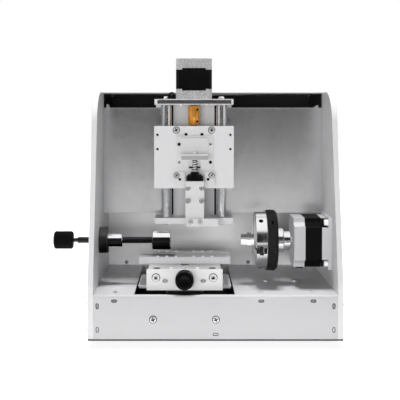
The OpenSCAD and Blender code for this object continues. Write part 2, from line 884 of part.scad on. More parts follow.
// Vise body: a channel for the lugs of the jaws, a slot for their necks, two sunk screws,
// two oilers and a stop block above the knob
module vise_body() {
    half = vise_w / 2 - 1.8;
    channel = [43, 102];
    screw_x = 31;
    screw_d = 24.6;
    oiler_x = 14.7;
    color("silver") difference() {
        union() {
            slab([vise_x - half, vise_x + half], vise_d, vise_z);
            slab([vise_x - 3.3, vise_x + 3.1], [vise_d[0], 22.6], [vise_z[1] - 0.1, vise_z[1] + 1.5]);
            for (s = [-1, 1]) z_cyl(1.8, vise_x + s * oiler_x, 23, [70, vise_z[1] + 1]);
        }
        slab([vise_x - lug_w / 2 - 0.3, vise_x + lug_w / 2 + 0.3], channel, [58, 71]);
        slab([vise_x - neck_w / 2 - 0.2, vise_x + neck_w / 2 + 0.2], channel, [70, 80]);
        y_cyl(screw_r + run_gap, vise_x, [10, 130], vise_screw_z);
        for (s = [-1, 1]) z_cyl(4.2, vise_x + s * screw_x, screw_d, [68, 80]);
    }
    color("gray") for (s = [-1, 1])
        translate([vise_x + s * screw_x, screw_d - case_d / 2, 68]) cap_head(3.3, 3.6);
}

vise_marks = [[-21.6, 63.2], [20.6, 63.2]];

// Plate on the front of the vise body, with its two screws and two slot marks
module vise_front_plate() {
    half = vise_w / 2;
    front = 16;
    color("silver") difference() {
        slab([vise_x - half, vise_x + half], [front, vise_d[0]], [52.4, vise_z[1]]);
        y_cyl(screw_r + run_gap, vise_x, [10, 30], vise_screw_z);
        for (m = vise_marks)
            translate([vise_x + m[0], front - 8.8 - case_d / 2, m[1]]) obround_y(5.6, 3.2, false);
    }
    color("gray") for (s = [-1, 1])
        translate([vise_x + s * 31.8, front - case_d / 2, 66.6]) rotate([90, 0, 0])
            cap_head(4, 2.6);
}

module y_screw() {
    color("lightgray") y_cyl(screw_r, vise_x, [40, 176], y_axis_z);
}

// Screw with a right-hand and a left-hand half
module vise_screw() {
    color("lightgray") y_cyl(screw_r, vise_x, [8, 120], vise_screw_z);
}

module vise_knob() {
    r = knob_dia / 2;
    color("black") translate([vise_x, -case_d / 2, vise_screw_z]) rotate([-90, 0, 0])
        rotate_extrude() polygon([
            [0, 0], [r - 0.8, 0], [r, 0.8], [r, 13.6], [r - 1, 14.6], [6, 14.6],
            [6, 15.4], [screw_r, 15.4], [screw_r, 8], [0, 8]
        ]);
}

// One jaw, from its clamping face outwards; side is -1 for the front jaw
module jaw(side) {
    pins = [-31.2, -20.8, -10.4, 10.4, 20.8, 31.2];
    half = jaw_w / 2;
    gap = 0.15;
    m = vise_mid_d;
    face = side < 0 ? [m - jaw_d, m - gap] : [m + gap, m + jaw_d];
    step = side < 0 ? [m - 4, m] : [m, m + 4];
    lip = side < 0 ? [m - jaw_d + 3.4, m - jaw_d + 5.4] : [m + jaw_d - 5.4, m + jaw_d - 3.4];
    lug = side < 0 ? [m - 11, m - 1] : [m + 1, m + 11];
    pin_d = side < 0 ? lip[0] + 1 : lip[1] - 1;
    color("silver") difference() {
        union() {
            slab([vise_x - half, vise_x + half], face, jaw_z);
            slab([vise_x - lug_w / 2, vise_x + lug_w / 2], lug, [58.3, lug_top_z]);
            slab([vise_x - neck_w / 2, vise_x + neck_w / 2], lug, [lug_top_z - 0.1, jaw_z[0] + 0.1]);
        }
        slab([vise_x - half - 1, vise_x + half + 1], step, [jaw_z[1] - 2, 90]);
        slab([vise_x - half - 1, vise_x + half + 1], lip, [jaw_z[1] - 0.8, 90]);
        y_cyl(screw_r + run_gap, vise_x, [lug[0] - 1, lug[1] + 1], vise_screw_z);
    }
    color("white") for (x = pins) z_cyl(1.7, vise_x + x, pin_d, [jaw_z[1] - 1, jaw_z[1] + 1.2]);
}

module front_jaw() {
    jaw(-1);
}

module back_jaw() {
    jaw(1);
}

/* ---- chuck ---- */

jaw_slot_w = 7.2;
jaw_clear = 0.15;
spigot_r = 15;

// Places children on the turning axis, with +Y pointing outwards along jaw number k
module at_jaw(k) {
    translate([0, axis_y, axis_z]) rotate([-jaw_angle - 120 * k, 0, 0]) mirror([0, 1, 0])
        children();
}

// Star of three arms, each of half width w and length r
function arms(w, r) = [
    for (k = [0:2])
        let (c = cos(120 * k), s = sin(120 * k))
        for (p = [[r, -w], [r, w], [w / tan(60), w]])
            [p[0] * c - p[1] * s, p[0] * s + p[1] * c]
];

// Body with three T-shaped jaw slots, spigot for the scroll ring, hub, clamp collar and shaft
module chuck_body() {
    r = chuck_dia / 2;
    color("silver") difference() {
        on_axis() rotate_extrude() polygon([
            [3.2, chuck_x[0]], [r - 1.2, chuck_x[0]], [r, chuck_x[0] + 1.2], [r, chuck_x[1]],
            [spigot_r, chuck_x[1]], [spigot_r, hub_x[0]], [14.4, hub_x[0]],
            [14.4, hub_x[1] - 0.8], [13.6, hub_x[1]], [10.8, hub_x[1]],
            [10.8, collar_x[1] - 0.6], [10.2, collar_x[1]], [4, collar_x[1]],
            [4, inner_x], [0, inner_x], [0, chuck_x[1] + 8], [3.2, chuck_x[1] + 8]
        ]);
        at_jaw(0) translate([chuck_x[0] - 1, 0, 0]) rotate([90, 0, 90])
            linear_extrude(6) polygon(arms(jaw_slot_w / 2, r + 5));
        at_jaw(0) translate([chuck_x[0] + 4.5, 0, 0]) rotate([90, 0, 90])
            linear_extrude(5) polygon(arms(5.6, r + 5));
        for (k = [0:2]) at_jaw(k) rotate([63.5, 0, 0])
            translate([(chuck_x[0] + chuck_x[1]) / 2, r - 8, 0]) rotate([-90, 0, 0])
                cylinder(r = 2.6, h = 10);
        for (a = [0, 90])
            translate([85.5, axis_y, axis_z]) rotate([a - 100, 0, 0])
                translate([0, 0, 7]) cylinder(r = 1.6, h = 6);
    }
}

// Knurled ring that turns the scroll, with six holes for the tommy bar
module scroll_ring() {
    r = ring_dia / 2;
    bore = spigot_r + run_gap;
    color("dimgray") difference() {
        on_axis() rotate_extrude() polygon([
            [bore, ring_x[0]], [r - 0.8, ring_x[0]], [r, ring_x[0] + 0.8],
            [r, ring_x[1] - 3], [r - 2.4, ring_x[1]], [bore, ring_x[1]]
        ]);
        for (k = [0:5]) translate([67, axis_y, axis_z])
            rotate([-60 * k + 107, 0, 0]) translate([0, 0, r - 9]) cylinder(r = 2.5, h = 12);
    }
}

// Stepped jaw: a T-shaped base in its slot and a nose that reaches out of the face
module chuck_jaw(k) {
    w = jaw_slot_w / 2 - jaw_clear;
    tip = 0.35;
    neck = tip + w * tan(30);
    outer = 20;
    color("silver") at_jaw(k) {
        translate([jaw_nose_x, 0, 0]) rotate([90, 0, 90]) {
            linear_extrude(chuck_x[0] + 4.6 - jaw_nose_x)
                polygon([[tip, 0], [neck, w], [6.6, w], [6.6, -w], [neck, -w]]);
            translate([0, 0, 7]) linear_extrude(5)
                polygon([[6, w], [8.2, w], [8.2, -w], [6, -w]]);
        }
        translate([chuck_x[0] + 0.2, 5, -w]) cube([4.7, outer - 5, 2 * w]);
        translate([chuck_x[0] + 4.7, 5, -5.4]) cube([4.6, outer - 5, 10.8]);
    }
}

module chuck_jaw_1() {
    chuck_jaw(0);
}

module chuck_jaw_2() {
    chuck_jaw(1);
}

module chuck_jaw_3() {
    chuck_jaw(2);
}

/* ---- tailstock screw and cup ---- */

tail_rod = tail_rod_dia / 2;
knob_x = [-187.8, -164.7];
cup_x = [-72.1, -50.3];

// Rod with a narrow neck beside the knob
module tail_screw() {
    neck = [knob_x[1] + 0.1, knob_x[1] + 4.8];
    color("lightgray") on_axis() rotate_extrude() polygon([
        [0, knob_x[0] + 8], [tail_rod, knob_x[0] + 8], [tail_rod, neck[0]], [2.4, neck[0]],
        [2.4, neck[1]], [tail_rod, neck[1]], [tail_rod, -64.8], [0, -64.8]
    ]);
}

// Knurled knob, fixed on the end of the rod
module tail_knob() {
    r = 10.4;
    color("black") on_axis() rotate_extrude() polygon([
        [0, knob_x[0]], [r - 1, knob_x[0]], [r, knob_x[0] + 1], [r, knob_x[1] - 1],
        [r - 1, knob_x[1]], [tail_rod, knob_x[1]], [tail_rod, knob_x[0] + 8],
        [0, knob_x[0] + 8]
    ]);
}

bearing_r = 8;

// Bearing on the rod's end that the cup turns on
module tail_bearing() {
    color("gray") difference() {
        x_cyl(bearing_r, [-71.5, -65.5], axis_d, axis_z);
        x_cyl(tail_rod + run_gap, [-72, -65], axis_d, axis_z);
    }
}

// Cup that bears on the work piece
module tail_cup() {
    r = 11.1;
    bore = bearing_r + run_gap;
    color("gainsboro") on_axis() rotate_extrude() polygon([
        [bore, cup_x[0]], [r - 0.8, cup_x[0]], [r, cup_x[0] + 0.8], [r, cup_x[1] - 1],
        [r - 1, cup_x[1]], [6, cup_x[1]], [0, cup_x[1] - 3.5], [0, -64], [bore, -64]
    ]);
}

base_shell();
bottom_plate();
left_side_panel();
right_side_panel();
rear_wall();
upper_panel();
back_cover();
rubber_feet();
corner_brackets();
panel_screws();
y_rods();
x_rods();
drive_motors();
drive_brackets();
control_board();
power_inlet();
chuck_motor_stator();
chuck_motor_caps();
tail_flange();
tail_bush();
x_carriage();
z_top_plate();
z_bottom_plate();
z_back_plate();
z_rods();
z_motor_stator();
z_motor_caps();
z_frame_screws();
cable_clip();
x_screw();
carriage_plate();
z_slide_block();
float_guide();
spring_bracket();
carriage_screws();
z_screw();
z_coupling();
tool_arm();
tool_foot();
pressure_spring();
spring_seat();
pressure_nut();
slide_plate();
y_slide_blocks();
vise_body();
vise_front_plate();
y_screw();
vise_screw();
vise_knob();
front_jaw();
back_jaw();
chuck_body();
scroll_ring();
chuck_jaw_1();
chuck_jaw_2();
chuck_jaw_3();
tail_bearing();
tail_screw();
tail_knob();
tail_cup();
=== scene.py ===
import json
import math
import random

import bmesh
import bpy
from mathutils import Matrix, Vector
from mathutils.geometry import tessellate_polygon


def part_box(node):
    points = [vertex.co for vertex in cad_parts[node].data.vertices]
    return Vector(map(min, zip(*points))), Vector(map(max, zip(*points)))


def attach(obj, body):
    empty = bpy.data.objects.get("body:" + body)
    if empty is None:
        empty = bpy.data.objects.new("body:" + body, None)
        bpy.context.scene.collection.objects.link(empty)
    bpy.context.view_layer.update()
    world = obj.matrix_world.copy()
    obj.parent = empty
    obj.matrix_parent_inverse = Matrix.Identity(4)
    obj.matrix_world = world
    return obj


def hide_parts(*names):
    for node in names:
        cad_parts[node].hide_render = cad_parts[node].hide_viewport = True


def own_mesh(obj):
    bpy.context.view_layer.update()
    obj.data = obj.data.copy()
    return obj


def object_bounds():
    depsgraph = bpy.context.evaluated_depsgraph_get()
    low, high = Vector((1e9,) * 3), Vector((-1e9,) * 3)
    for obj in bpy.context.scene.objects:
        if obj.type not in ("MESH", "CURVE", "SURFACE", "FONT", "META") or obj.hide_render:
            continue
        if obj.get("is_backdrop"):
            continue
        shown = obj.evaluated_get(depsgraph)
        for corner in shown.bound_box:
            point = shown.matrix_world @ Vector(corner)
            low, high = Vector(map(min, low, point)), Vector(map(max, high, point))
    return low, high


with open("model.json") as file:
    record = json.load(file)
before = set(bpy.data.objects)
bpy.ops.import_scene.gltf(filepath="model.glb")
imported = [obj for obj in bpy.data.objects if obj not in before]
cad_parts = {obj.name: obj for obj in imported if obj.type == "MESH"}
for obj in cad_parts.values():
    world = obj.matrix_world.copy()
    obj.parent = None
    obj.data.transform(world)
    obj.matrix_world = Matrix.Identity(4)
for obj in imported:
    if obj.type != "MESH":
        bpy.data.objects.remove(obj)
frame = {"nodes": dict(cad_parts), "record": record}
cad_low, cad_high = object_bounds()
random.seed(7)
nodes = frame["nodes"]

MM = 0.001
TIP = 1e-9  # a profile point nearer the axis than this closes its end
MERGE = 1e-7  # points nearer than this are one point
EVEN = (1, 1, 1)
FRONT = Vector((0, -1, 0))
UP = Vector((0, 0, 1))


# ---------------------------------------------------------------- materials

def new_material(name):
    m = bpy.data.materials.new(name)
    m.use_nodes = True
    tree = m.node_tree
    tree.nodes.clear()
    out = tree.nodes.new("ShaderNodeOutputMaterial")
    bsdf = tree.nodes.new("ShaderNodeBsdfPrincipled")
    tree.links.new(bsdf.outputs["BSDF"], out.inputs["Surface"])
    coord = tree.nodes.new("ShaderNodeTexCoord")
    return m, tree, bsdf, coord


def principled(look):
    return next(n for n in look.node_tree.nodes if n.type == "BSDF_PRINCIPLED")


def math_node(tree, operation, a, b=None):
    """One arithmetic node; its inputs are outputs of other nodes, or numbers beside one."""
    node = tree.nodes.new("ShaderNodeMath")
    node.operation = operation
    for socket, value in zip(node.inputs, (a, b)):
        if isinstance(value, (int, float)):
            socket.default_value = value
        elif value is not None:
            tree.links.new(value, socket)
    return node.outputs["Value"]


def all_of(tree, first, *others):
    """1 where every one of the tests is 1."""
    for other in others:
        first = math_node(tree, "MULTIPLY", first, other)
    return first


def split(tree, vector):
    """The X, Y and Z outputs of a vector."""
    node = tree.nodes.new("ShaderNodeSeparateXYZ")
    tree.links.new(vector, node.inputs["Vector"])
    return node.outputs


def noise(tree, coord, scale, stretch=EVEN, detail=3.0):
    """A noise texture in object space, stretched along the axes."""
    mapping = tree.nodes.new("ShaderNodeMapping")
    mapping.inputs["Scale"].default_value = stretch
    tree.links.new(coord.outputs["Object"], mapping.inputs["Vector"])
    n = tree.nodes.new("ShaderNodeTexNoise")
    n.inputs["Scale"].default_value = scale
    n.inputs["Detail"].default_value = detail
    n.inputs["Roughness"].default_value = 0.55
    tree.links.new(mapping.outputs["Vector"], n.inputs["Vector"])
    return n


def span(tree, source, low, high, start=0.3, end=0.7):
    """Maps a value from start..end to low..high."""
    r = tree.nodes.new("ShaderNodeMapRange")
    r.inputs["From Min"].default_value = start
    r.inputs["From Max"].default_value = end
    r.inputs["To Min"].default_value = low
    r.inputs["To Max"].default_value = high
    tree.links.new(source, r.inputs["Value"])
    return r.outputs["Result"]


def color_mix(tree, factor):
    """A mix of two colours by the output of another node."""
    mix = tree.nodes.new("ShaderNodeMix")
    mix.data_type = "RGBA"
    tree.links.new(factor, mix.inputs["Factor"])
    return mix


def mixed(tree, factor, a, b):
    mix = color_mix(tree, factor)
    mix.inputs["A"].default_value = (*a, 1)
    mix.inputs["B"].default_value = (*b, 1)
    return mix.outputs["Result"]


def rounded_normal(tree, radius):
    """The surface's normal, turned over its edges as if they were rounded."""
    bevel = tree.nodes.new("ShaderNodeBevel")
    bevel.samples = 4
    bevel.inputs["Radius"].default_value = radius
    return bevel.outputs["Normal"]


def bumped(tree, bsdf, height, strength, distance, radius):
    bump = tree.nodes.new("ShaderNodeBump")
    bump.inputs["Strength"].default_value = strength
    bump.inputs["Distance"].default_value = distance
    tree.links.new(height, bump.inputs["Height"])
    if radius:
        tree.links.new(rounded_normal(tree, radius), bump.inputs["Normal"])
    tree.links.new(bump.outputs["Normal"], bsdf.inputs["Normal"])


def painted_edge_highlight(tree, color, light, radius):
    """A painted highlight: lightens a colour where the surface turns round an edge."""
    flat = tree.nodes.new("ShaderNodeNewGeometry")
    dot = tree.nodes.new("ShaderNodeVectorMath")
    dot.operation = "DOT_PRODUCT"
    tree.links.new(rounded_normal(tree, radius), dot.inputs[0])
    tree.links.new(flat.outputs["Normal"], dot.inputs[1])
    mix = color_mix(tree, span(tree, dot.outputs["Value"], 1, 0, 0.80, 0.99))
    tree.links.new(color, mix.inputs["A"])
    mix.inputs["B"].default_value = (*light, 1)
    return mix.outputs["Result"]


def tones(color, tone):
    """A darker and a lighter shade of a colour."""
    return tuple(c * (1 - tone) for c in color), tuple(min(c * (1 + tone), 1) for c in color)


def metal(name, color, rough, metallic=1.0, grain=EVEN, scale=3000, tone=0.03, bump=0.08,
          edge=0.0003, blotch=0.04, edge_glint=0.25):
    """Machined or blasted metal: grain for the finish, blotches for handling marks, a painted highlight
    along its edges.
    """
    m, tree, bsdf, coord = new_material(name)
    bsdf.inputs["Metallic"].default_value = metallic
    fine = noise(tree, coord, scale, grain, 2.0)
    broad = noise(tree, coord, 22, detail=4.0)
    base = mixed(tree, span(tree, fine.outputs["Fac"], 0, 1), *tones(color, tone))
    # Painted highlight along the edges
    if edge_glint and edge:
        bright = tuple(c + (1 - c) * edge_glint for c in color)
        base = painted_edge_highlight(tree, base, bright, edge)
    tree.links.new(base, bsdf.inputs["Base Color"])
    sheen = span(tree, fine.outputs["Fac"], rough - 0.04, rough + 0.04)
    marks = span(tree, broad.outputs["Fac"], -blotch, blotch)
    tree.links.new(math_node(tree, "ADD", sheen, marks), bsdf.inputs["Roughness"])
    bumped(tree, bsdf, fine.outputs["Fac"], bump, 0.00005, edge)
    return m


def dielectric(name, color, rough, gloss=0.5):
    """Paint, rubber or plastic: a fine skin, with slow changes in shade and gloss."""
    m, tree, bsdf, coord = new_material(name)
    bsdf.inputs["Specular IOR Level"].default_value = gloss
    fine = noise(tree, coord, 1500)
    broad = noise(tree, coord, 30).outputs["Fac"]
    shade = mixed(tree, span(tree, broad, 0, 1), *tones(color, 0.25))
    tree.links.new(shade, bsdf.inputs["Base Color"])
    tree.links.new(span(tree, broad, rough - 0.06, rough + 0.08), bsdf.inputs["Roughness"])
    bumped(tree, bsdf, fine.outputs["Fac"], 0.15, 0.0001, 0.0004)
    return m


HOLE_SHADE = (0.012, 0.012, 0.012)
BAY_SHADE = (0.03, 0.03, 0.031)


def shade_painted(look, inside, color):
    """Painted shade: turns a material to a dark colour where the test is 1."""
    tree = look.node_tree
    base = principled(look).inputs["Base Color"]
    mix = color_mix(tree, inside)
    tree.links.new(base.links[0].from_socket, mix.inputs["A"])
    mix.inputs["B"].default_value = (*color, 1)
    tree.links.new(mix.outputs["Result"], base)


def painted_front_shade(look, top):
    """Painted shade on a sheet: its forward-facing side turns dark below a height."""
    tree = look.node_tree
    shape = tree.nodes.new("ShaderNodeNewGeometry")
    forward = math_node(tree, "LESS_THAN", split(tree, shape.outputs["Normal"])["Y"], -0.5)
    below = math_node(tree, "LESS_THAN", split(tree, shape.outputs["Position"])["Z"], top)
    shade_painted(look, all_of(tree, forward, below), BAY_SHADE)


def painted_bay_shade(look):
    """Painted shade: the side panels' inner faces turn dark in the drive bay behind the upper panel."""
    low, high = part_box("upper_panel")
    tree = look.node_tree
    place = split(tree, tree.nodes.new("ShaderNodeNewGeometry").outputs["Position"])
    aside = math_node(tree, "ABSOLUTE", place["X"])
    within = math_node(tree, "LESS_THAN", aside, high.x + 0.1 * MM)
    behind = math_node(tree, "GREATER_THAN", place["Y"], high.y)
    above = math_node(tree, "GREATER_THAN", place["Z"], low.z)
    shade_painted(look, all_of(tree, within, behind, above), BAY_SHADE)


def axis_parts(tree, center):
    """X, and the distance and angle round a line along X through (y, z), in object space."""
    coord = tree.nodes.new("ShaderNodeTexCoord")
    place = split(tree, coord.outputs["Object"])
    y = math_node(tree, "SUBTRACT", place["Y"], center[0])
    z = math_node(tree, "SUBTRACT", place["Z"], center[1])
    square = math_node(tree, "ADD", all_of(tree, y, y), all_of(tree, z, z))
    return place["X"], math_node(tree, "SQRT", square), math_node(tree, "ARCTAN2", z, y)


def renamed_copy(look, name):
    m = look.copy()
    m.name = name
    return m


def shaded_inside(look, name, center, start, end, radius):
    """A turned metal with painted shade in its slots and holes: inside start..end and a radius."""
    m = renamed_copy(look, name)
    tree = m.node_tree
    x, distance, _ = axis_parts(tree, center)
    after = math_node(tree, "GREATER_THAN", x, start)
    before = math_node(tree, "LESS_THAN", x, end)
    under = math_node(tree, "LESS_THAN", distance, radius)
    shade_painted(m, all_of(tree, after, before, under), HOLE_SHADE)
    return m


def knurled(look, name, center, teeth, pitch):
    """A metal with a diamond knurl round a line along X."""
    m = renamed_copy(look, name)
    tree = m.node_tree
    bump = next(n for n in tree.nodes if n.type == "BUMP")
    x, _, angle = axis_parts(tree, center)
    turn = math_node(tree, "MULTIPLY", angle, teeth)
    along_x = math_node(tree, "MULTIPLY", x, 2 * math.pi / pitch)
    one = math_node(tree, "SINE", math_node(tree, "ADD", turn, along_x))
    two = math_node(tree, "SINE", math_node(tree, "SUBTRACT", turn, along_x))
    height = math_node(tree, "ADD", all_of(tree, one, two),
                       bump.inputs["Height"].links[0].from_socket)
    tree.links.new(height, bump.inputs["Height"])
    bump.inputs["Distance"].default_value = 0.00025
    return m


GROUND = {"scale": 3500, "tone": 0.02, "bump": 0.04}
SHEET = metal("sheet_blasted", (0.60, 0.60, 0.61), 0.40, 0.10, blotch=0.02)
WALL = metal("wall_blasted", (0.94, 0.94, 0.95), 0.45, 0.0, blotch=0.02)
SIDE = metal("side_blasted", (0.76, 0.76, 0.77), 0.38, 0.06, edge=0.0006, blotch=0.02)
PANEL = metal("panel_blasted", (0.96, 0.96, 0.97), 0.28, 1.0, blotch=0.012)
# Nearly black bottom plate: painted shade for the unlit inside of the housing, seen through the deck's
# opening
FLOOR_SHEET = metal("floor_sheet", (0.10, 0.10, 0.105), 0.5, 0.3)
COVER = metal("cover_blasted", (0.52, 0.52, 0.53), 0.42, 0.3, blotch=0.02)
PLATE = metal("plate_milled", (0.82, 0.82, 0.83), 0.42, 0.2, (1, 1, 0.1), **GROUND)
PLATE_X = metal("plate_brushed", (0.84, 0.84, 0.85), 0.34, 0.25, (0.02, 1, 1), scale=3500,
                tone=0.06, bump=0.12)
BACKING = metal("plate_blasted", (0.64, 0.64, 0.65), 0.44, 0.15)
DARK_PLATE = metal("plate_shaded", (0.50, 0.51, 0.53), 0.35, 0.8)
GUIDE = metal("guide_ground", (0.82, 0.82, 0.82), 0.38, 0.3, **GROUND)
VISE = metal("vise_ground", (0.86, 0.86, 0.86), 0.34, 0.15, **GROUND)
VISE_BODY = metal("vise_milled", (0.62, 0.62, 0.63), 0.30, 0.2, **GROUND)
# Painted shade for the rims of blind slots and the floor of the slot behind the spring
SLOT_SHADE = metal("mark_shaded", (0.03, 0.03, 0.031), 0.5, 0.1, edge=0)
JAW = metal("jaw_ground", (0.70, 0.70, 0.71), 0.13, 0.12, (0.2, 1, 1), scale=3500, tone=0.02,
            bump=0.02, blotch=0.02)
ROD = metal("rod_chromed", (0.76, 0.77, 0.78), 0.22, 0.9, (1, 1, 0.02), scale=3000, tone=0.02,
            bump=0.02, edge=0)
ROD_X = metal("rod_chromed_x", (0.72, 0.73, 0.74), 0.14, 1.0, (0.02, 1, 1), scale=3000, tone=0.02,
              bump=0.02, edge=0)
SCREW = metal("lead_screw_steel", (0.35, 0.35, 0.36), 0.25)
BOLT = metal("bolt_nickel", (0.84, 0.84, 0.85), 0.24, 0.6, edge=0.0002)
MOTOR_CAP = metal("motor_milled", (0.70, 0.70, 0.71), 0.32, 0.42, scale=2600, tone=0.04, bump=0.1,
                  edge_glint=0.7)
SLIDE = metal("plate_anodised", (0.80, 0.80, 0.81), 0.36, 0.2, (0.1, 1, 1), scale=3500, tone=0.03,
              bump=0.05, edge_glint=0.8)
BLOCK = metal("block_anodised", (0.03, 0.03, 0.031), 0.4, 0.4)
BLACK_BOLT = metal("bolt_black", (0.05, 0.05, 0.052), 0.32, edge=0.0002, edge_glint=0.1)
ZINC = metal("zinc", (0.55, 0.56, 0.57), 0.33, scale=700, tone=0.08)
CAP = metal("motor_cast", (0.50, 0.50, 0.51), 0.40, 0.25, scale=800, tone=0.4, bump=0.7, edge_glint=0.8)
STATOR = dielectric("motor_black", (0.003, 0.003, 0.003), 0.5, 0.12)
BRASS = metal("brass", (0.92, 0.40, 0.06), 0.26, 0.6, (1, 1, 0.04), scale=2500, tone=0.12,
              bump=0.12, edge_glint=0.3)
OXIDE = dielectric("black_knob", (0.003, 0.003, 0.003), 0.36, 0.08)
RUBBER = dielectric("rubber", (0.012, 0.012, 0.012), 0.70, 0.3)
PLASTIC = dielectric("black_plastic", (0.003, 0.003, 0.003), 0.34, 0.25)
BOARD = dielectric("board", (0.012, 0.06, 0.03), 0.40)
CHUCK = metal("chuck_turned", (0.90, 0.90, 0.91), 0.22, 1.0, (0.04, 1, 1), scale=2500, tone=0.02,
              bump=0.03)
FLANGE = metal("flange_blackened", (0.10, 0.10, 0.102), 0.35, 0.95, scale=900, tone=0.3, bump=0.5,
               edge_glint=0.1)
RING = metal("ring_knurled", (0.03, 0.03, 0.03), 0.40, 0.95, scale=900, tone=0.45, bump=0.8, edge_glint=0.05)
CUP = metal("cup_turned", (0.92, 0.92, 0.93), 0.08, 1.0, (0.04, 1, 1), scale=2500, tone=0.02, bump=0.01)
SPRING = metal("spring_steel", (0.02, 0.02, 0.021), 0.45, 0.4, edge=0)
SHELF = metal("shelf_ground", (0.50, 0.50, 0.51), 0.40, 0.4, **GROUND, edge_glint=0.7)
PIN = metal("pin_polished", (0.97, 0.97, 0.97), 0.16, 0.0, edge=0)
DARK_SCREW = metal("thread_blackened", (0.05, 0.05, 0.052), 0.28, 0.9, edge=0.0001, edge_glint=0.3)
STRIP = metal("edge_brushed", (0.30, 0.30, 0.31), 0.30, 0.9, (0.02, 1, 1), scale=2600, tone=0.22,
              bump=0.3, edge=0)
SHADOW_GAP = dielectric("shadow_gap", (0.01, 0.01, 0.01), 0.8, 0.1)

CUT_EDGE = 1.2 * MM  # the cover's top edge stays free of the painted shade
# Painted shade inside the drive bay, on the back cover and on the side panels
painted_front_shade(COVER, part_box("back_cover")[1].z - CUT_EDGE)
painted_bay_shade(SIDE)

# The chuck's axis, from the frame
low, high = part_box("chuck_body")
SPIN = ((low.y + high.y) / 2, (low.z + high.z) / 2)
SKIN = 0.3 * MM  # how far under a turned face its holes and slots take painted shade
FAR = 1.0  # past the whole object
# Painted shade in the chuck's jaw slots, on the jaws inside them and in the ring's holes
CHUCK_SLOTTED = shaded_inside(CHUCK, "chuck_slotted", SPIN, low.x + 1.3 * MM, low.x + 13.3 * MM,
                              (high.z - low.z) / 2 - SKIN)
HARD_JAW = metal("jaw_hardened", (0.80, 0.80, 0.81), 0.2, 0.85, (0.2, 1, 1), scale=3500, tone=0.02,
                 bump=0.03)
CHUCK_JAW = shaded_inside(HARD_JAW, "chuck_jaw_ground", SPIN, low.x - 0.1 * MM, FAR, FAR)
RING_TEETH = 90
RING_PITCH = 2.4 * MM
RING_KNURLED = knurled(RING, "ring_diamond", SPIN, RING_TEETH, RING_PITCH)
low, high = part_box("scroll_ring")
RING_KNURLED = shaded_inside(RING_KNURLED, "ring_drilled", SPIN, low.x + 1.2 * MM, high.x - 3.2 * MM,
                             (high.z - low.z) / 2 - SKIN)

LOOK = {
    "base_shell": SHEET, "bottom_plate": FLOOR_SHEET, "left_side_panel": SIDE, "right_side_panel": SIDE,
    "rear_wall": WALL, "upper_panel": PANEL, "back_cover": COVER, "rubber_feet": RUBBER,
    "corner_brackets": ZINC, "panel_screws": BOLT, "y_rods": ROD, "x_rods": ROD_X,
    "drive_motors": STATOR, "drive_brackets": DARK_PLATE, "control_board": BOARD,
    "power_inlet": PLASTIC, "chuck_motor_stator": STATOR, "chuck_motor_caps": MOTOR_CAP,
    "tail_flange": FLANGE, "tail_bush": CUP, "x_carriage": PLATE, "z_top_plate": PLATE_X,
    "z_bottom_plate": PLATE_X, "z_back_plate": BACKING, "z_rods": ROD, "z_motor_stator": STATOR,
    "z_motor_caps": CAP, "z_frame_screws": BOLT, "cable_clip": PLASTIC, "x_screw": SCREW,
    "carriage_plate": PLATE, "z_slide_block": DARK_PLATE, "float_guide": GUIDE,
    "spring_bracket": GUIDE, "carriage_screws": BOLT, "z_screw": SCREW, "z_coupling": BRASS,
    "tool_arm": GUIDE, "tool_foot": GUIDE, "pressure_spring": SPRING, "spring_seat": ZINC,
    "pressure_nut": OXIDE, "slide_plate": SLIDE, "y_slide_blocks": BLOCK,
    "vise_body": VISE_BODY, "vise_front_plate": VISE, "y_screw": SCREW, "vise_screw": SCREW,
    "vise_knob": OXIDE, "front_jaw": JAW, "back_jaw": JAW, "chuck_body": CHUCK_SLOTTED,
    "scroll_ring": RING_KNURLED, "chuck_jaw_1": CHUCK_JAW, "chuck_jaw_2": CHUCK_JAW,
    "chuck_jaw_3": CHUCK_JAW,
    "tail_bearing": ZINC, "tail_screw": OXIDE, "tail_knob": OXIDE, "tail_cup": CUP,
}
# A strong highlight gives the vise jaws the sharp sheen along their ground tops
principled(JAW).inputs["Specular IOR Level"].default_value = 1.0

for name, look in LOOK.items():
    for material_slot in nodes[name].material_slots:
        material_slot.material = look


# ---------------------------------------------------------------- mesh helpers

def piece(name, verts, faces, look, body, smooth=40, second=None, marked=()):
    """A finished piece from plain lists, riding on one body; marked faces take the second look."""
    mesh = bpy.data.meshes.new(name)
    mesh.from_pydata([tuple(v) for v in verts], [], faces)
    for i in marked:
        mesh.polygons[i].material_index = 1
    bm = bmesh.new()
    bm.from_mesh(mesh)
    bmesh.ops.remove_doubles(bm, verts=bm.verts, dist=MERGE)
    bmesh.ops.recalc_face_normals(bm, faces=bm.faces)
    bm.to_mesh(mesh)
    bm.free()
    if smooth:
        mesh.shade_smooth()
        mesh.set_sharp_from_angle(angle=math.radians(smooth))
    mesh.materials.append(look)
    if second:
        mesh.materials.append(second)
    o = bpy.data.objects.new(name, mesh)
    bpy.context.collection.objects.link(o)
    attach(o, body)
    return o


def placed(parts):
    """Joins (verts, faces, matrix) shapes into one pair of lists."""
    verts, faces = [], []
    for vs, fs, matrix in parts:
        base = len(verts)
        verts += [matrix @ Vector(v) for v in vs]
        faces += [tuple(i + base for i in f) for f in fs]
    return verts, faces


def facing(origin, direction):
    """A frame at origin whose Z points along direction."""
    turn = Vector(direction).to_track_quat("Z", "Y").to_matrix().to_4x4()
    return Matrix.Translation(Vector(origin)) @ turn


def arc(radius, start, end, steps):
    """Points on a circle round the origin, from one angle to another, both included."""
    angles = [start + (end - start) * i / steps for i in range(steps + 1)]
    return [(radius * math.cos(a), radius * math.sin(a)) for a in angles]


def circle(radius, z, steps):
    """Points evenly round Z at one height."""
    return [(radius * math.cos(2 * math.pi * i / steps), radius * math.sin(2 * math.pi * i / steps), z)
            for i in range(steps)]


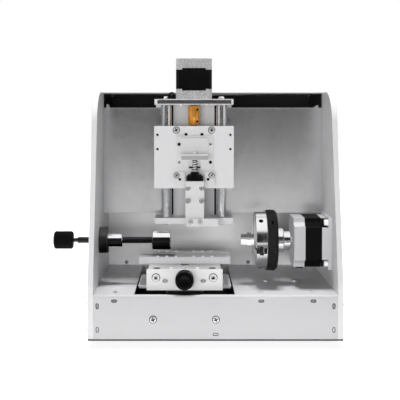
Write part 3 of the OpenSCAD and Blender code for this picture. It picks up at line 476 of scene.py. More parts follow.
def add_row(verts, points):
    """Adds points to a list of vertices and gives their numbers."""
    verts += points
    return list(range(len(verts) - len(points), len(verts)))


def skin(rows):
    """Faces between each row of points and the next; a row of one point is a tip."""
    faces = []
    for low, high in zip(rows, rows[1:]):
        steps = max(len(low), len(high))
        for i in range(steps):
            j = (i + 1) % steps
            a = [low[i], low[j]] if len(low) > 1 else low
            b = [high[j], high[i]] if len(high) > 1 else high
            if len(a) + len(b) > 2:
                faces.append(tuple(a + b))
    return faces


def lathe(profile, steps=40):
    """Turns (radius, height) points round Z; a zero radius closes an end."""
    verts = []
    rows = [add_row(verts, [(0, 0, z)] if r < TIP else circle(r, z, steps)) for r, z in profile]
    return verts, skin(rows + rows[:1])


def turned(profile, steps):
    """A lathe whose (radius, height) points are in mm."""
    return lathe([(r * MM, z * MM) for r, z in profile], steps)


def rectangle(x, z, y, inset=0):
    """Four corners facing the front at depth y, drawn in from the spans x and z."""
    x0, x1, z0, z1 = x[0] + inset, x[1] - inset, z[0] + inset, z[1] - inset
    return [(x0, y, z0), (x1, y, z0), (x1, y, z1), (x0, y, z1)]


RECESS_SIDES = {"cross": 12, "hex": 6}


def screw_head(r, h, recess, dome):
    """A screw head with a real recess, standing on z = 0."""
    if dome:
        side = [(r, 0), (r, 0.2 * h), (0.95 * r, 0.5 * h), (0.84 * r, 0.78 * h), (0.72 * r, 0.94 * h),
                (0.64 * r, h)]
    else:
        side = [(r, 0), (r, 0.72 * h), (0.975 * r, 0.88 * h), (0.9 * r, 0.98 * h), (0.84 * r, h)]
    verts = [(0, 0, 0)]
    rows = [[0]] + [add_row(verts, circle(radius, z, 32)) for radius, z in side]
    faces = skin(rows)
    if recess == "cross":
        a, w = 0.6 * r, 0.16 * r
        outline = [(a, -w), (a, w), (w, w), (w, a), (-w, a), (-w, w), (-a, w), (-a, -w), (-w, -w),
                   (-w, -a), (w, -a), (w, -w)]
    else:
        outline = arc(0.5 * r, 0, 5 * math.pi / 3, 5)
    rim = add_row(verts, [(x, y, h) for x, y in outline])
    top = [Vector(verts[i]) for i in rows[-1]]
    flat = rows[-1] + rim
    for tri in tessellate_polygon([top, [Vector((x, y, h)) for x, y in outline]]):
        faces.append(tuple(flat[i] for i in tri))
    depth, taper = 0.45 * h, 0.8 if recess == "cross" else 1.0
    pit = add_row(verts, [(x * taper, y * taper, depth) for x, y in outline])
    faces += skin([rim, pit])
    faces.append(tuple(pit))
    return verts, faces


def loose_solids(name):
    """The separate solids of a CAD node: one list of points each."""
    mesh = nodes[name].data
    merged, of_vertex = {}, []
    for v in mesh.vertices:
        key = tuple(round(c, 6) for c in v.co)
        of_vertex.append(merged.setdefault(key, len(merged)))
    parent = list(range(len(merged)))

    def root(i):
        while parent[i] != i:
            parent[i] = parent[parent[i]]
            i = parent[i]
        return i

    for poly in mesh.polygons:
        first = root(of_vertex[poly.vertices[0]])
        for v in poly.vertices[1:]:
            parent[root(of_vertex[v])] = first
    groups = {}
    for key, i in merged.items():
        groups.setdefault(root(i), []).append(Vector(key))
    return list(groups.values())


def head_places(name):
    """Foot point, outward direction, radius and height of each screw head in a CAD node."""
    places = []
    for points in loose_solids(name):
        low = Vector([min(p[k] for p in points) for k in range(3)])
        high = Vector([max(p[k] for p in points) for k in range(3)])
        size = high - low
        axis = min(range(3), key=lambda k: size[k])
        mid = (low + high) / 2

        def spread(at):
            near = [p for p in points if abs(p[axis] - at) < 1e-5]
            return sum(
                math.sqrt(sum((p[k] - mid[k]) ** 2 for k in range(3) if k != axis)) for p in near
            ) / len(near)

        up = spread(low[axis]) > spread(high[axis])
        foot = mid.copy()
        foot[axis] = low[axis] if up else high[axis]
        direction = Vector((0, 0, 0))
        direction[axis] = 1 if up else -1
        radius = (sum(size) - size[axis]) / 4
        places.append((foot, direction, radius, size[axis]))
    return places


def screws(name, places, body, look, recess="cross", dome=True):
    """Screw heads at the given places, each turned its own way as a hand leaves it."""
    parts, pits, count = [], [], 0
    for foot, direction, radius, height in places:
        vs, fs = screw_head(radius, height, recess, dome)
        spin = Matrix.Rotation(random.uniform(0, math.pi / 2), 4, "Z")
        parts.append((vs, fs, facing(foot, direction) @ spin))
        count += len(fs)
        # The walls and floor of each recess take painted shade
        pits += range(count - RECESS_SIDES[recess] - 1, count)
    verts, faces = placed(parts)
    return piece(name, verts, faces, look, body, 30, SHADOW_GAP, pits)


def gap_rings(name, places, body, width):
    """Painted shade: a thin dark ring for the gap between a screw head and the edge of its countersink.
    """
    thick = 0.05 * MM
    parts = []
    for foot, direction, radius, _ in places:
        profile = [(radius, 0), (radius + width, 0), (radius + width, thick), (radius, thick)]
        parts.append((*lathe(profile, 32), facing(foot, direction)))
    piece(name, *placed(parts), SHADOW_GAP, body, 30)


def thread(radius, start, end, pitch, depth):
    """A rod with a helical thread along Z, cut square at both ends."""
    steps = 20
    levels = [0, 0, 1, 1]  # crest and root, a quarter of the pitch for each row
    n_rows = int(math.ceil((end - start) / pitch * 4)) + 9
    verts = []
    for j in range(n_rows):
        for i in range(steps + 1):
            z = start + pitch * ((j - 5) / 4 + i / steps)
            r = radius - depth * levels[j % 4]
            a = 2 * math.pi * i / steps
            verts.append((r * math.cos(a), r * math.sin(a), z))
    faces = []
    for j in range(n_rows - 1):
        for i in range(steps):
            a = j * (steps + 1) + i
            faces.append((a, a + 1, a + steps + 2, a + steps + 1))
    bm = bmesh.new()
    points = [bm.verts.new(v) for v in verts]
    for f in faces:
        bm.faces.new([points[i] for i in f])
    bmesh.ops.remove_doubles(bm, verts=bm.verts, dist=MERGE)
    for at, side in ((start, -1), (end, 1)):
        geom = list(bm.verts) + list(bm.edges) + list(bm.faces)
        bmesh.ops.bisect_plane(
            bm, geom=geom, dist=1e-8, plane_co=(0, 0, at), plane_no=(0, 0, side), clear_outer=True
        )
    bmesh.ops.remove_doubles(bm, verts=bm.verts, dist=MERGE)
    bmesh.ops.holes_fill(bm, edges=[e for e in bm.edges if e.is_boundary])
    bm.verts.index_update()
    out = [tuple(v.co) for v in bm.verts], [tuple(v.index for v in f.verts) for f in bm.faces]
    bm.free()
    return out


def fluted(profile, flutes, depth, low, high):
    """A turned knob whose side between two heights is knurled with straight flutes."""
    count = flutes * 4
    verts, rows = [], []
    for r, z in profile:
        if r < TIP:
            rows.append(add_row(verts, [(0, 0, z)]))
            continue
        cut = depth if low <= z <= high else 0
        points = []
        for i in range(count):
            a = 2 * math.pi * i / count
            k = 0.5 - 0.5 * math.cos(flutes * a)
            points.append(((r - cut * k) * math.cos(a), (r - cut * k) * math.sin(a), z))
        rows.append(add_row(verts, points))
    return verts, skin(rows)


# ---------------------------------------------------------------- screws and pins

BODIES = frame["record"]["behaviour"]["bodies"]


def body_of(node):
    return next(body for body, names in BODIES.items() if node in names)


def middle(node):
    low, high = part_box(node)
    return (low + high) / 2


# Blind slots in the front of the housing: X and Z in mm, and whether they stand upright
FRONT_SLOTS = [(-111, 44, False), (50, 44, False), (107, 44, False), (-129.5, 38.3, True),
               (-129.5, 12.3, True), (129.5, 38.3, True), (129.5, 12.3, True), (0.2, 7.2, False)]

# Screw nodes of the frame: the same places and sizes, with rounded heads and real recesses
o = screws("panel_screw_heads", head_places("panel_screws"), body_of("panel_screws"), BOLT)
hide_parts("panel_screws")
button_heads = [p for p in head_places("panel_screws")
                if p[1].y < -0.5 and p[0].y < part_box("base_shell")[0].y + MM]
gap_rings("front_screw_gaps", button_heads, body_of("panel_screws"), 0.6 * MM)

SMALL_HEAD = 2.5 * MM  # the carriage's set screws have heads of at most this radius
places = head_places("carriage_screws")
large = [p for p in places if p[2] > SMALL_HEAD]
small = [p for p in places if p[2] <= SMALL_HEAD]
body = body_of("carriage_screws")
o = screws("carriage_screw_heads", large, body, BOLT, "cross", False)
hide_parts("carriage_screws")
across = sum((p[0] for p in small), Vector()) / len(small)
# Two small screws on one diagonal are bright, the two on the other are black
bright = [p for p in small if (p[0].x < across.x) != (p[0].z > across.z)]
black = [p for p in small if p not in bright]
screws("carriage_set_screws", bright, body, BOLT, "hex", False)
screws("carriage_black_screws", black, body, BLACK_BOLT, "hex", False)
gap_rings("carriage_screw_gaps", large, body, 0.7 * MM)

o = screws("frame_screw_heads", head_places("z_frame_screws"), body_of("z_frame_screws"), BOLT, "hex")
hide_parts("z_frame_screws")


def fronts(node, offsets, inset, radius, height):
    """Screws on a node's front face: offsets in X and Z from its middle and its foot, in mm."""
    low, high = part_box(node)
    x = (low.x + high.x) / 2
    return [(Vector((x + dx * MM, low.y + inset * MM, z * MM)), FRONT, radius * MM, height * MM)
            for dx, z in offsets]


arm = fronts("tool_arm", [(s * 7.9, z) for s in (-1, 1) for z in (147, 162)],
             inset=1.3, radius=2.3, height=1.35)
screws("arm_screws", arm, body_of("tool_arm"), BOLT)
gap_rings("arm_screw_gaps", arm, body_of("tool_arm"), 0.5 * MM)
low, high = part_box("tool_foot")
arm_x = middle("tool_arm").x
foot_x = arm_x + 0.7 * MM
foot = [(Vector((foot_x + s * 5.5 * MM, low.y + 1.3 * MM, 122.6 * MM)), FRONT, 2.3 * MM, 1.35 * MM)
        for s in (-1, 1)]
screws("foot_screws", foot, body_of("tool_foot"), BOLT)
gap_rings("foot_screw_gaps", foot, body_of("tool_foot"), 0.5 * MM)

table = body_of("vise_body")
plate = fronts("vise_front_plate", [(s * 31.8, 66.6) for s in (-1, 1)],
               inset=2.6, radius=4.1, height=2.65)
screws("vise_plate_screws", plate, table, BOLT)
gap_rings("vise_plate_screw_gaps", plate, table, 0.7 * MM)
vise_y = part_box("vise_body")[0].y
vise_x = middle("vise_body").x
# The cap screws behind the front plate stand deep in round sinks of the body
cap_places = [(vise_x + s * 31 * MM, vise_y + 5.6 * MM) for s in (-1, 1)]
deep = [(Vector((x, y, 68 * MM)), UP, 3.4 * MM, 3.8 * MM) for x, y in cap_places]
screws("vise_body_screws", deep, table, BOLT, "hex", False)
oiler = turned([(0, 0), (1.9, 0), (1.9, 0.7), (1.6, 1.1), (0.9, 1.3), (0, 1.4)], 24)
oilers = [(*oiler, Matrix.Translation((vise_x + s * 14.7 * MM, vise_y + 4 * MM, 75.7 * MM)))
          for s in (-1, 1)]
piece("vise_oilers", *placed(oilers), PIN, table)
# A thin dark band on the walls of each sink: painted shade
sink = turned([(4.1, 71.7), (4.2, 71.7), (4.2, 75.5), (4.1, 75.5)], 40)
sinks = [(*sink, Matrix.Translation((x, y, 0))) for x, y in cap_places]
piece("vise_body_sinks", *placed(sinks), SHADOW_GAP, table)

# Sunk set screws in the carriage and in the keepers of the float guide
low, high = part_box("carriage_plate")
head_x = (low.x + high.x) / 2
carriage = body_of("carriage_plate")
SET_DEEP, SET_TALL = 2.4 * MM, 1.8 * MM
sunk = [(Vector((head_x + s * 43 * MM, low.y + SET_DEEP, z * MM)), FRONT, 1.5 * MM, SET_TALL)
        for s in (-1, 1) for z in (206.5, 223.4)]
sunk += [(Vector((head_x + s * 9.4 * MM, low.y + SET_DEEP, 223.8 * MM)), FRONT, 1.9 * MM, SET_TALL)
         for s in (-1, 1)]
screws("carriage_sunk_screws", sunk, carriage, BLACK_BOLT, "hex", False)
low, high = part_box("float_guide")
sunk = [(Vector((head_x + s * 16.6 * MM, low.y + SET_DEEP, 171.4 * MM)), FRONT, 1.7 * MM, SET_TALL)
        for s in (-1, 1)]
screws("keeper_sunk_screws", sunk, body_of("float_guide"), BLACK_BOLT, "hex", False)


def pocket_shade():
    """Painted shade on the walls of the four corner pockets in the chuck motor's rear cap."""
    low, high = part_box("chuck_motor_stator")
    half, pocket, clear = 28.2 * MM, 9.6 * MM, 0.08 * MM
    wall = half - pocket + clear
    rim = half - 0.3 * MM
    x0, x1 = high.x + 0.1 * MM, high.x + 6.7 * MM
    edge = wall + 0.12 * MM
    outline = [(wall, wall), (rim, wall), (rim, edge), (edge, edge), (edge, rim), (wall, rim)]
    ends = [(0, 1, 2, 3), (0, 3, 4, 5), (6, 7, 8, 9), (6, 9, 10, 11)]
    shape = ([(x, y, z) for x in (x0, x1) for y, z in outline],
             skin([range(6), range(6, 12)]) + ends)
    place = Matrix.Translation((0, *SPIN))
    return placed([(*shape, place @ Matrix.Rotation(k * math.pi / 2, 4, "X")) for k in range(4)])


motor = body_of("chuck_motor_caps")
piece("chuck_motor_pockets", *pocket_shade(), SHADOW_GAP, motor, 0)
plate_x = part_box("chuck_motor_stator")[1].x + 6.8 * MM
BOLT_SQUARE = 23.6 * MM  # from the motor's axis to its flange screws, across and up
flange = [(Vector((plate_x, SPIN[0] + s * BOLT_SQUARE, SPIN[1] + t * BOLT_SQUARE)),
           Vector((-1, 0, 0)), 3.5 * MM, 4.2 * MM) for s in (-1, 1) for t in (-1, 1)]
screws("chuck_motor_screws", flange, motor, PIN, "hex", False)


CHUCK_HOLE = 40.2  # turn of the first hole from straight up, between two jaws
CHUCK_SLOT = 193.7  # turn of the first jaw slot from straight back
JAW_SLOT = 3.6 * MM


def chuck_holes():
    """Painted shade: dark bottoms just under the rim of the three radial holes in the chuck's body."""
    low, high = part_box("chuck_body")
    rim = (high.z - low.z) / 2 / MM
    shape = turned([(0, rim - 2), (2.55, rim - 2), (2.55, rim - 0.6), (1, rim - 0.9), (0, rim - 0.9)], 32)
    place = Matrix.Translation((low.x + 6.75 * MM, *SPIN))
    return placed([(*shape, place @ Matrix.Rotation(math.radians(120 * k + CHUCK_HOLE), 4, "X"))
                   for k in range(3)])


def bar(x, y, z, bevel=0.2 * MM):
    """A bar with bevelled long edges on its front: x, y and z are its spans in metres."""
    verts = rectangle(x, z, y[1]) + rectangle(x, z, y[0] + bevel) + rectangle(x, z, y[0], bevel)
    return verts, [(0, 3, 2, 1), (8, 9, 10, 11)] + skin([range(4), range(4, 8), range(8, 12)])


def chuck_slots():
    """Shaded stretch of the jaw slots behind the wide part, as a curved strip on the chuck's rim."""
    low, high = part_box("chuck_body")
    r = (high.z - low.z) / 2
    half, steps = JAW_SLOT / r, 6
    corners = ((9.6, -0.1), (13.2, -0.1), (13.2, 0.04), (9.6, 0.04))
    rows = [(low.x + a * MM, r + b * MM) for a, b in corners]
    verts = [(x, q * math.cos(half * (2 * i / steps - 1)), q * math.sin(half * (2 * i / steps - 1)))
             for i in range(steps + 1) for x, q in rows]
    faces = [(0, 1, 2, 3), tuple(4 * steps + k for k in range(4))]
    faces += skin([range(4 * i, 4 * i + 4) for i in range(steps + 1)])
    place = Matrix.Translation((0, *SPIN))
    return placed([(verts, faces, place @ Matrix.Rotation(math.radians(120 * k + CHUCK_SLOT), 4, "X"))
                   for k in range(3)])


PLAIN = Matrix.Identity(4)
piece("chuck_body_holes", *chuck_holes(), SHADOW_GAP, body_of("chuck_body"))
piece("chuck_body_slots", *chuck_slots(), SHADOW_GAP, body_of("chuck_body"), 0)

# Shaded floor of the slot behind the pressure spring
half_slot = 6.8 * MM
low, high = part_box("carriage_plate")
shade = placed([(*bar((arm_x - half_slot, arm_x + half_slot), (low.y + 4.7 * MM, low.y + 5 * MM),
                      (166.5 * MM, 185.8 * MM)), PLAIN)])
piece("spring_slot_floor", *shade, SLOT_SHADE, body_of("carriage_plate"), 0)

# Dark strips for the shade beside the head's back plate and along its edges
low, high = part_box("z_back_plate")
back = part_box("x_carriage")[0].y
tall = (low.z + 1 * MM, high.z - 1 * MM)
gaps = placed([
    (*bar((low.x - 4 * MM, low.x - 0.2 * MM), (back - 0.3 * MM, back), tall), PLAIN),
    (*bar((high.x + 0.2 * MM, high.x + 4 * MM), (back - 0.3 * MM, back), tall), PLAIN),
    (*bar((low.x, low.x + 2.0 * MM), (low.y - 0.2 * MM, low.y), tall, 0.1 * MM), PLAIN),
    (*bar((high.x - 2.0 * MM, high.x), (low.y - 0.2 * MM, low.y), tall, 0.1 * MM), PLAIN),
])
piece("head_back_gaps", *gaps, SHADOW_GAP, body_of("z_back_plate"), 0)

low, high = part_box("spring_bracket")
shelf = placed([(*bar((low.x + 0.1 * MM, high.x - 0.1 * MM), (low.y - 0.02 * MM, low.y + 0.3 * MM),
                      (low.z + 0.1 * MM, low.z + 5.2 * MM)), PLAIN)])
piece("shelf_face", *shelf, SHELF, body_of("spring_bracket"), 0)


def slot_outline(length, width, upright):
    """The shaded rim of a blind slot: a thin closed band, lying in XZ and facing the front."""
    band, steps = 0.8 * MM, 10

    def ring(inset):
        r, reach = width / 2 - inset, (length - width) / 2
        half = arc(r, -math.pi / 2, math.pi / 2, steps)
        points = [(side * (reach + x), side * z) for side in (1, -1) for x, z in half]
        return points if not upright else [(-z, x) for x, z in points]

    outer, inner = ring(0.03 * MM), ring(band)
    n = len(outer)
    verts = [(x, y, z) for y in (0, 0.4 * MM) for loop in (outer, inner) for x, z in loop]
    faces = []
    for i in range(n):
        j = (i + 1) % n
        faces += [(i, j, n + j, n + i), (2 * n + i, 3 * n + i, 3 * n + j, 2 * n + j),
                  (i, 2 * n + i, 2 * n + j, j), (n + i, n + j, 3 * n + j, 3 * n + i)]
    return verts, faces


low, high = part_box("base_shell")
SET_BACK = 0.02 * MM  # a rim starts this far behind the face that it lies in
rims = [(*slot_outline(6.4 * MM, 3.4 * MM, upright),
         Matrix.Translation((x * MM, low.y + SET_BACK, z * MM))) for x, z, upright in FRONT_SLOTS]
piece("front_slot_rims", *placed(rims), SLOT_SHADE, body_of("base_shell"), 0)
low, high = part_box("vise_front_plate")
rims = [(*slot_outline(5.6 * MM, 3.2 * MM, False),
         Matrix.Translation(((low.x + high.x) / 2 + x * MM, low.y + SET_BACK, 63.2 * MM)))
        for x in (-21.6, 20.6)]
piece("vise_slot_rims", *placed(rims), SLOT_SHADE, table, 0)

# The photographed panels show no image of the chuck and its motor, so reflections leave them out
for node in ("chuck_body", "scroll_ring", "chuck_motor_stator", "chuck_motor_caps", "chuck_jaw_1",
             "chuck_jaw_2", "chuck_jaw_3"):
    nodes[node].visible_glossy = False


PIN_GAP = 10.4 * MM


def jaw_pins(node, side):
    """Six pins along the top of a vise jaw, near its front edge (-1) or its rear edge (1)."""
    low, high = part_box(node)
    y = low.y + 4.4 * MM if side < 0 else high.y - 4.4 * MM
    top = high.z - 1.3 * MM
    shape = turned([(0, 0), (1.8, 0), (1.8, 0.8), (1.55, 1.15), (0.9, 1.3), (0, 1.3)], 24)
    x = (low.x + high.x) / 2
    pins = [(*shape, Matrix.Translation((x + k * PIN_GAP, y, top))) for k in (-3, -2, -1, 1, 2, 3)]
    piece(node + "_pins", *placed(pins), PIN, body_of(node))


jaw_pins("front_jaw", -1)
jaw_pins("back_jaw", 1)


# ---------------------------------------------------------------- threads, knobs, coupling, spring

def along(axis, middle_point):
    """A frame at a point on an axis, whose Z is that axis, with heights measured from the origin."""
    turn = {"X": Matrix.Rotation(math.pi / 2, 4, "Y"), "Y": Matrix.Rotation(-math.pi / 2, 4, "X"),
            "Z": Matrix.Identity(4)}[axis]
    place = Vector(middle_point)
    place["XYZ".index(axis)] = 0
    return Matrix.Translation(place) @ turn


def threaded(name, node, axis, radius, start, end, pitch, look, extra=()):
    """A threaded rod in place of a plain one; extra holds its plain stretches."""
    matrix = along(axis, middle(node))
    parts = [(*thread(radius, start, end, pitch, 0.32 * pitch), matrix)]
    parts += [(*lathe(profile, 32), matrix) for profile in extra]
    o = piece(name, *placed(parts), look, body_of(node), 35)
    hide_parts(node)


def cylinder_profile(radius, start, end):
    edge = 0.4 * MM
    return [(0, start), (radius - edge, start), (radius, start + edge), (radius, end - edge),
            (radius - edge, end), (0, end)]


LEAD_RADIUS = 4 * MM
LEAD_PITCH = 2 * MM
low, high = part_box("x_screw")
threaded("x_screw_thread", "x_screw", "X", LEAD_RADIUS, low.x, high.x, LEAD_PITCH, SCREW)
low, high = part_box("y_screw")
threaded("y_screw_thread", "y_screw", "Y", LEAD_RADIUS, low.y, high.y, LEAD_PITCH, SCREW)
low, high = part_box("vise_screw")
plain_end = low.y + 6 * MM
threaded("vise_screw_thread", "vise_screw", "Y", LEAD_RADIUS, plain_end, high.y, 1.5 * MM, SCREW,
         [cylinder_profile(LEAD_RADIUS, low.y, plain_end)])
low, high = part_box("z_screw")
couple_low, couple_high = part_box("z_coupling")
plain_end = couple_low.z + 3 * MM
joint = (couple_low.z + couple_high.z) / 2
threaded("z_screw_thread", "z_screw", "Z", LEAD_RADIUS, low.z, plain_end, LEAD_PITCH, SCREW,
         [cylinder_profile(LEAD_RADIUS, plain_end, joint - 0.5 * MM),
          cylinder_profile(LEAD_RADIUS, joint + 0.5 * MM, high.z)])
low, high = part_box("tail_screw")
TAIL_RADIUS, NECK_RADIUS = 3.9 * MM, 2.4 * MM
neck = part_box("tail_knob")[1].x
neck_end = neck + 4.8 * MM
threaded("tail_screw_thread", "tail_screw", "X", TAIL_RADIUS, neck_end, high.x, 1.25 * MM, DARK_SCREW,
         [[(0, low.x), (TAIL_RADIUS, low.x), (TAIL_RADIUS, neck), (NECK_RADIUS, neck + 0.2 * MM),
           (NECK_RADIUS, neck_end), (0, neck_end)]])


def knob(name, node, axis, profile, flutes, depth, grip):
    """A knurled knob in place of a plain one; profile, depth and grip in mm from its outer face."""
    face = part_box(node)[0]["XYZ".index(axis)]
    points = [(radius * MM, face + height * MM) for radius, height in profile]
    shape = fluted(points, flutes, depth * MM, face + grip[0] * MM, face + grip[1] * MM)
    o = piece(name, *placed([(*shape, along(axis, middle(node)))]), OXIDE, body_of(node), 50)
    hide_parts(node)


low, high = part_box("tail_knob")
r, long, bore = (high.z - low.z) / 2 / MM, (high.x - low.x) / MM, TAIL_RADIUS / MM
BORE_END = 7.8
knob("tail_knob_knurled", "tail_knob", "X", [
    (0, 0), (0.62 * r, 0), (0.66 * r, 0.4), (r - 1.6, 0.4), (r - 0.4, 1.6), (r, 2), (r, 2.4),
    (r, long - 2.4), (r, long - 2), (r - 0.4, long - 1.6), (r - 1.6, long - 0.4), (bore, long - 0.2),
    (bore, BORE_END), (0, BORE_END)
], 56, 0.5, (2.2, long - 2.2))

low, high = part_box("vise_knob")
r, long, bore, hub = (high.z - low.z) / 2 / MM, (high.y - low.y) / MM, LEAD_RADIUS / MM, 6
knob("vise_knob_knurled", "vise_knob", "Y", [
    (0, 0.6), (0.45 * r, 0.6), (0.5 * r, 0), (r - 1.8, 0), (r - 0.5, 0.8), (r, 1.6), (r, 2), (r, 12.8),
    (r, 13.2), (r - 1, 14.6), (hub, 14.6), (hub, long), (bore, long), (bore, BORE_END), (0, BORE_END)
], 44, 0.6, (1.8, 13))


def coupling():
    """Clamp coupling: slit along its right side, with a flat for two clamp screws in front of it."""
    low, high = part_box("z_coupling")
    r = (high.y - low.y) / 2
    at = Vector((low.x + r, (low.y + high.y) / 2, 0))
    bore, slit, flat_y, flat_x, edge = 4 * MM, 0.5 * MM, -4.7 * MM, 2.6 * MM, 0.4 * MM
    start = math.asin(slit / r)
    left = 2 * math.pi - math.acos(flat_x / r)
    right = 2 * math.pi - math.asin(-flat_y / r)
    outer = arc(r, start, left, 48) + [(flat_x, flat_y)] + arc(r, right, 2 * math.pi - start, 10)
    gap = math.asin(slit / bore)
    inside = arc(bore, 2 * math.pi - gap, gap, 28)
    outline = outer + inside
    rows, verts = [], []
    for z, grow in ((low.z, 0.96), (low.z + edge, 1), (high.z - edge, 1), (high.z, 0.96)):
        section = [(x * grow, y * grow) for x, y in outer] + inside
        rows.append(add_row(verts, [(at.x + x, at.y + y, z) for x, y in section]))
    faces = skin(rows)
    ring = [Vector((x, y, 0)) for x, y in outline]
    for tri in tessellate_polygon([ring]):
        faces.append(tuple(rows[0][i] for i in tri))
        faces.append(tuple(rows[-1][i] for i in tri))
    o = piece("z_coupling_clamp", verts, faces, BRASS, body_of("z_coupling"), 35)
    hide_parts("z_coupling")
    clamp = [(Vector((at.x + 4 * MM, at.y + flat_y, z)), FRONT, 1.4 * MM, 0.9 * MM)
             for z in (low.z + 4.5 * MM, high.z - 4.5 * MM)]
    screws("z_coupling_screws", clamp, body_of("z_coupling"), BLACK_BOLT, "hex", False)


coupling()


def spring():
    """Round wire wound into an open coil between the seat and the shelf."""
    low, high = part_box("pressure_spring")
    mid = (low + high) / 2
    wire, turns, steps, sides = 0.5 * MM, 5, 28, 10
    closed, climb = 0.75, 0.07  # turns wound close at each end, and their share of the height
    coil = (high.x - low.x) / 2 - wire
    z0, z1 = low.z + wire, high.z - wire
    verts, faces = [], []
    last = turns * steps
    for i in range(last + 1):
        t = i / steps
        a = 2 * math.pi * t
        rise = min(max((t - closed) / (turns - 2 * closed), 0), 1)
        ends = min(t / closed, 1) + min(max((t - turns + closed) / closed, 0), 1)
        z = z0 + (z1 - z0) * (rise * (1 - 2 * climb) + climb * ends)
        for k in range(sides):
            b = 2 * math.pi * k / sides
            w = coil + wire * math.cos(b)
            verts.append((mid.x + w * math.cos(a), mid.y + w * math.sin(a), z + wire * math.sin(b)))
    for i in range(last):
        for k in range(sides):
            n = (k + 1) % sides
            faces.append((i * sides + k, (i + 1) * sides + k, (i + 1) * sides + n, i * sides + n))
    faces.append(tuple(range(sides)))
    faces.append(tuple(last * sides + k for k in range(sides)))
    o = piece("pressure_spring_wire", verts, faces, SPRING, body_of("pressure_spring"), 60)
    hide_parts("pressure_spring")
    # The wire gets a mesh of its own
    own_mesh(o)


spring()


def brushed_strip():
    """Dark brushed face in the shallow recess along the front edge of the top plate."""
    low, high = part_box("z_top_plate")
    x = (low.x + 3.5 * MM, high.x - 2.5 * MM)
    z = (low.z + 1.05 * MM, high.z - 1.05 * MM)
    y, chamfer = low.y + 1 * MM, 0.25 * MM
    verts = rectangle(x, z, y) + rectangle(x, z, y - chamfer, chamfer)
    faces = [(0, 3, 2, 1), (4, 5, 6, 7)] + skin([range(4), range(4, 8)])
    piece("top_plate_face", verts, faces, STRIP, body_of("z_top_plate"), 0)


brushed_strip()


# ---------------------------------------------------------------- studio

def plane(name, size, place, turn=(0, 0, 0)):
    mesh = bpy.data.meshes.new(name)
    w, h = size[0] / 2, size[1] / 2
    mesh.from_pydata([(-w, -h, 0), (w, -h, 0), (w, h, 0), (-w, h, 0)], [], [(0, 1, 2, 3)])
    o = bpy.data.objects.new(name, mesh)
    bpy.context.collection.objects.link(o)
    o.location = place
    o.rotation_euler = turn
    o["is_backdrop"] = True
    return o


def seen_directly(tree):
    """1 for camera, glossy and transmission rays, 0 for the light that falls on the object."""
    path = tree.nodes.new("ShaderNodeLightPath").outputs
    seen = math_node(tree, "MAXIMUM", path["Is Camera Ray"], path["Is Glossy Ray"])
    return math_node(tree, "MAXIMUM", seen, path["Is Transmission Ray"])


def floor_material():
    """Pale and matt; where it is seen it glows, near white close by and white far away."""
    m = bpy.data.materials.new("floor_pale")
    m.use_nodes = True
    tree = m.node_tree
    tree.nodes.clear()
    out = tree.nodes.new("ShaderNodeOutputMaterial")
    diffuse = tree.nodes.new("ShaderNodeBsdfDiffuse")
    diffuse.inputs["Color"].default_value = (0.70, 0.70, 0.70, 1)
    glow = tree.nodes.new("ShaderNodeEmission")
    coord = tree.nodes.new("ShaderNodeTexCoord")
    away = tree.nodes.new("ShaderNodeVectorMath")
    away.operation = "LENGTH"
    tree.links.new(coord.outputs["Object"], away.inputs[0])
    whiteness = span(tree, away.outputs["Value"], 0.84, 1.0, 0.35, 1.2)
    tree.links.new(all_of(tree, seen_directly(tree), whiteness), glow.inputs["Strength"])
    add = tree.nodes.new("ShaderNodeAddShader")
    tree.links.new(diffuse.outputs["BSDF"], add.inputs[0])
    tree.links.new(glow.outputs["Emission"], add.inputs[1])
    tree.links.new(add.outputs["Shader"], out.inputs["Surface"])
    return m


floor = plane("floor", (12, 12), (0, 0, cad_low.z - 0.2 * MM))
floor.data.materials.append(floor_material())


def card_material(name, value):
    m = bpy.data.materials.new(name)
    m.use_nodes = True
    bsdf = m.node_tree.nodes["Principled BSDF"]
    bsdf.inputs["Base Color"].default_value = (value, value, value, 1)
    bsdf.inputs["Roughness"].default_value = 1.0
    bsdf.inputs["Specular IOR Level"].default_value = 0.0
    return m


def card(name, size, place, turn, value):
    """A studio card that only reflections see."""
    o = plane(name, size, place, turn)
    o.data.materials.append(card_material(name, value))
    o.visible_camera = False
    o.visible_diffuse = False
    o.visible_shadow = False
    o.visible_transmission = False
    return o


# Dark cards: before the machine, on the floor in front of it, and beside the tailstock cup; the one
# beside the cup lies inside the machine as a painted dark reflection in the cup
card("card_front", (3.0, 1.2), (0, -1.3, cad_low.z + 0.6), (math.radians(90), 0, 0), 0.01)
card("card_floor", (2.4, 0.49), (0, -0.505, cad_low.z + 0.5 * MM), (0, 0, 0), 0.01)
card("card_table", (0.095, 0.20), (-0.0925, -0.12, 0.0868), (0, 0, 0), 0.01)


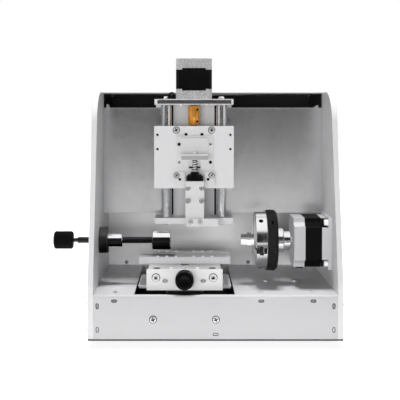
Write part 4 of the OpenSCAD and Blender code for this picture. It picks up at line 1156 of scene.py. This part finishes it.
def softbox(name, place, target, size, power):
    """A rectangular lamp that no reflection sees: they see the white surroundings and the cards."""
    light = bpy.data.lights.new(name, "AREA")
    light.shape = "RECTANGLE"
    light.size, light.size_y = size
    light.energy = power
    o = bpy.data.objects.new(name, light)
    bpy.context.collection.objects.link(o)
    o.location = place
    o.rotation_euler = (Vector(place) - Vector(target)).to_track_quat("Z", "Y").to_euler()
    o.visible_glossy = False


# A glowing card just above the deck, seen only in reflections: a painted reflection of a bright deck
# under the chuck
glow = card("card_deck", (0.05, 0.16), (0.056, -0.06, 0.0485), (0, 0, 0), 0.8)
lit = principled(glow.data.materials[0])
lit.inputs["Emission Color"].default_value = (1.0, 1.0, 1.0, 1)
lit.inputs["Emission Strength"].default_value = 1.0

softbox("key", (0, 0.46, 2.6), (0, 0.45, 0.0), (0.7, 0.6), 90)
softbox("fill", (-0.3, -1.9, 0.22), (0, 0, 0.12), (1.2, 0.36), 21)

world = bpy.data.worlds.new("studio")
bpy.context.scene.world = world
world.use_nodes = True
wt = world.node_tree
wt.nodes.clear()
background = wt.nodes.new("ShaderNodeBackground")
background.inputs["Color"].default_value = (1, 1, 1, 1)
AMBIENT = 0.14  # the even light on the object; where the world is seen, it is white
wt.links.new(span(wt, seen_directly(wt), AMBIENT, 1.0, 0, 1), background.inputs["Strength"])
world_out = wt.nodes.new("ShaderNodeOutputWorld")
wt.links.new(background.outputs["Background"], world_out.inputs["Surface"])

# ---------------------------------------------------------------- camera

# The lens stands 20 mm below the housing's top edge; the shift frames the machine as photographed
PITCH = 2.0  # degrees down
cam_data = bpy.data.cameras.new("camera")
cam = bpy.data.objects.new("camera", cam_data)
bpy.context.collection.objects.link(cam)
cam_data.sensor_width = 36.0
cam_data.lens = 76.2
cam.location = (-27.9 * MM, -1038.7 * MM, 253.8 * MM)
cam.rotation_euler = (math.radians(90 - PITCH), 0, 0)
cam_data.shift_x = 0.02485
cam_data.shift_y = -0.1535
cam_data.clip_start = 0.05
cam_data.clip_end = 50
bpy.context.scene.camera = cam
bpy.context.scene.view_settings.view_transform = "Standard"

low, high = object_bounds()
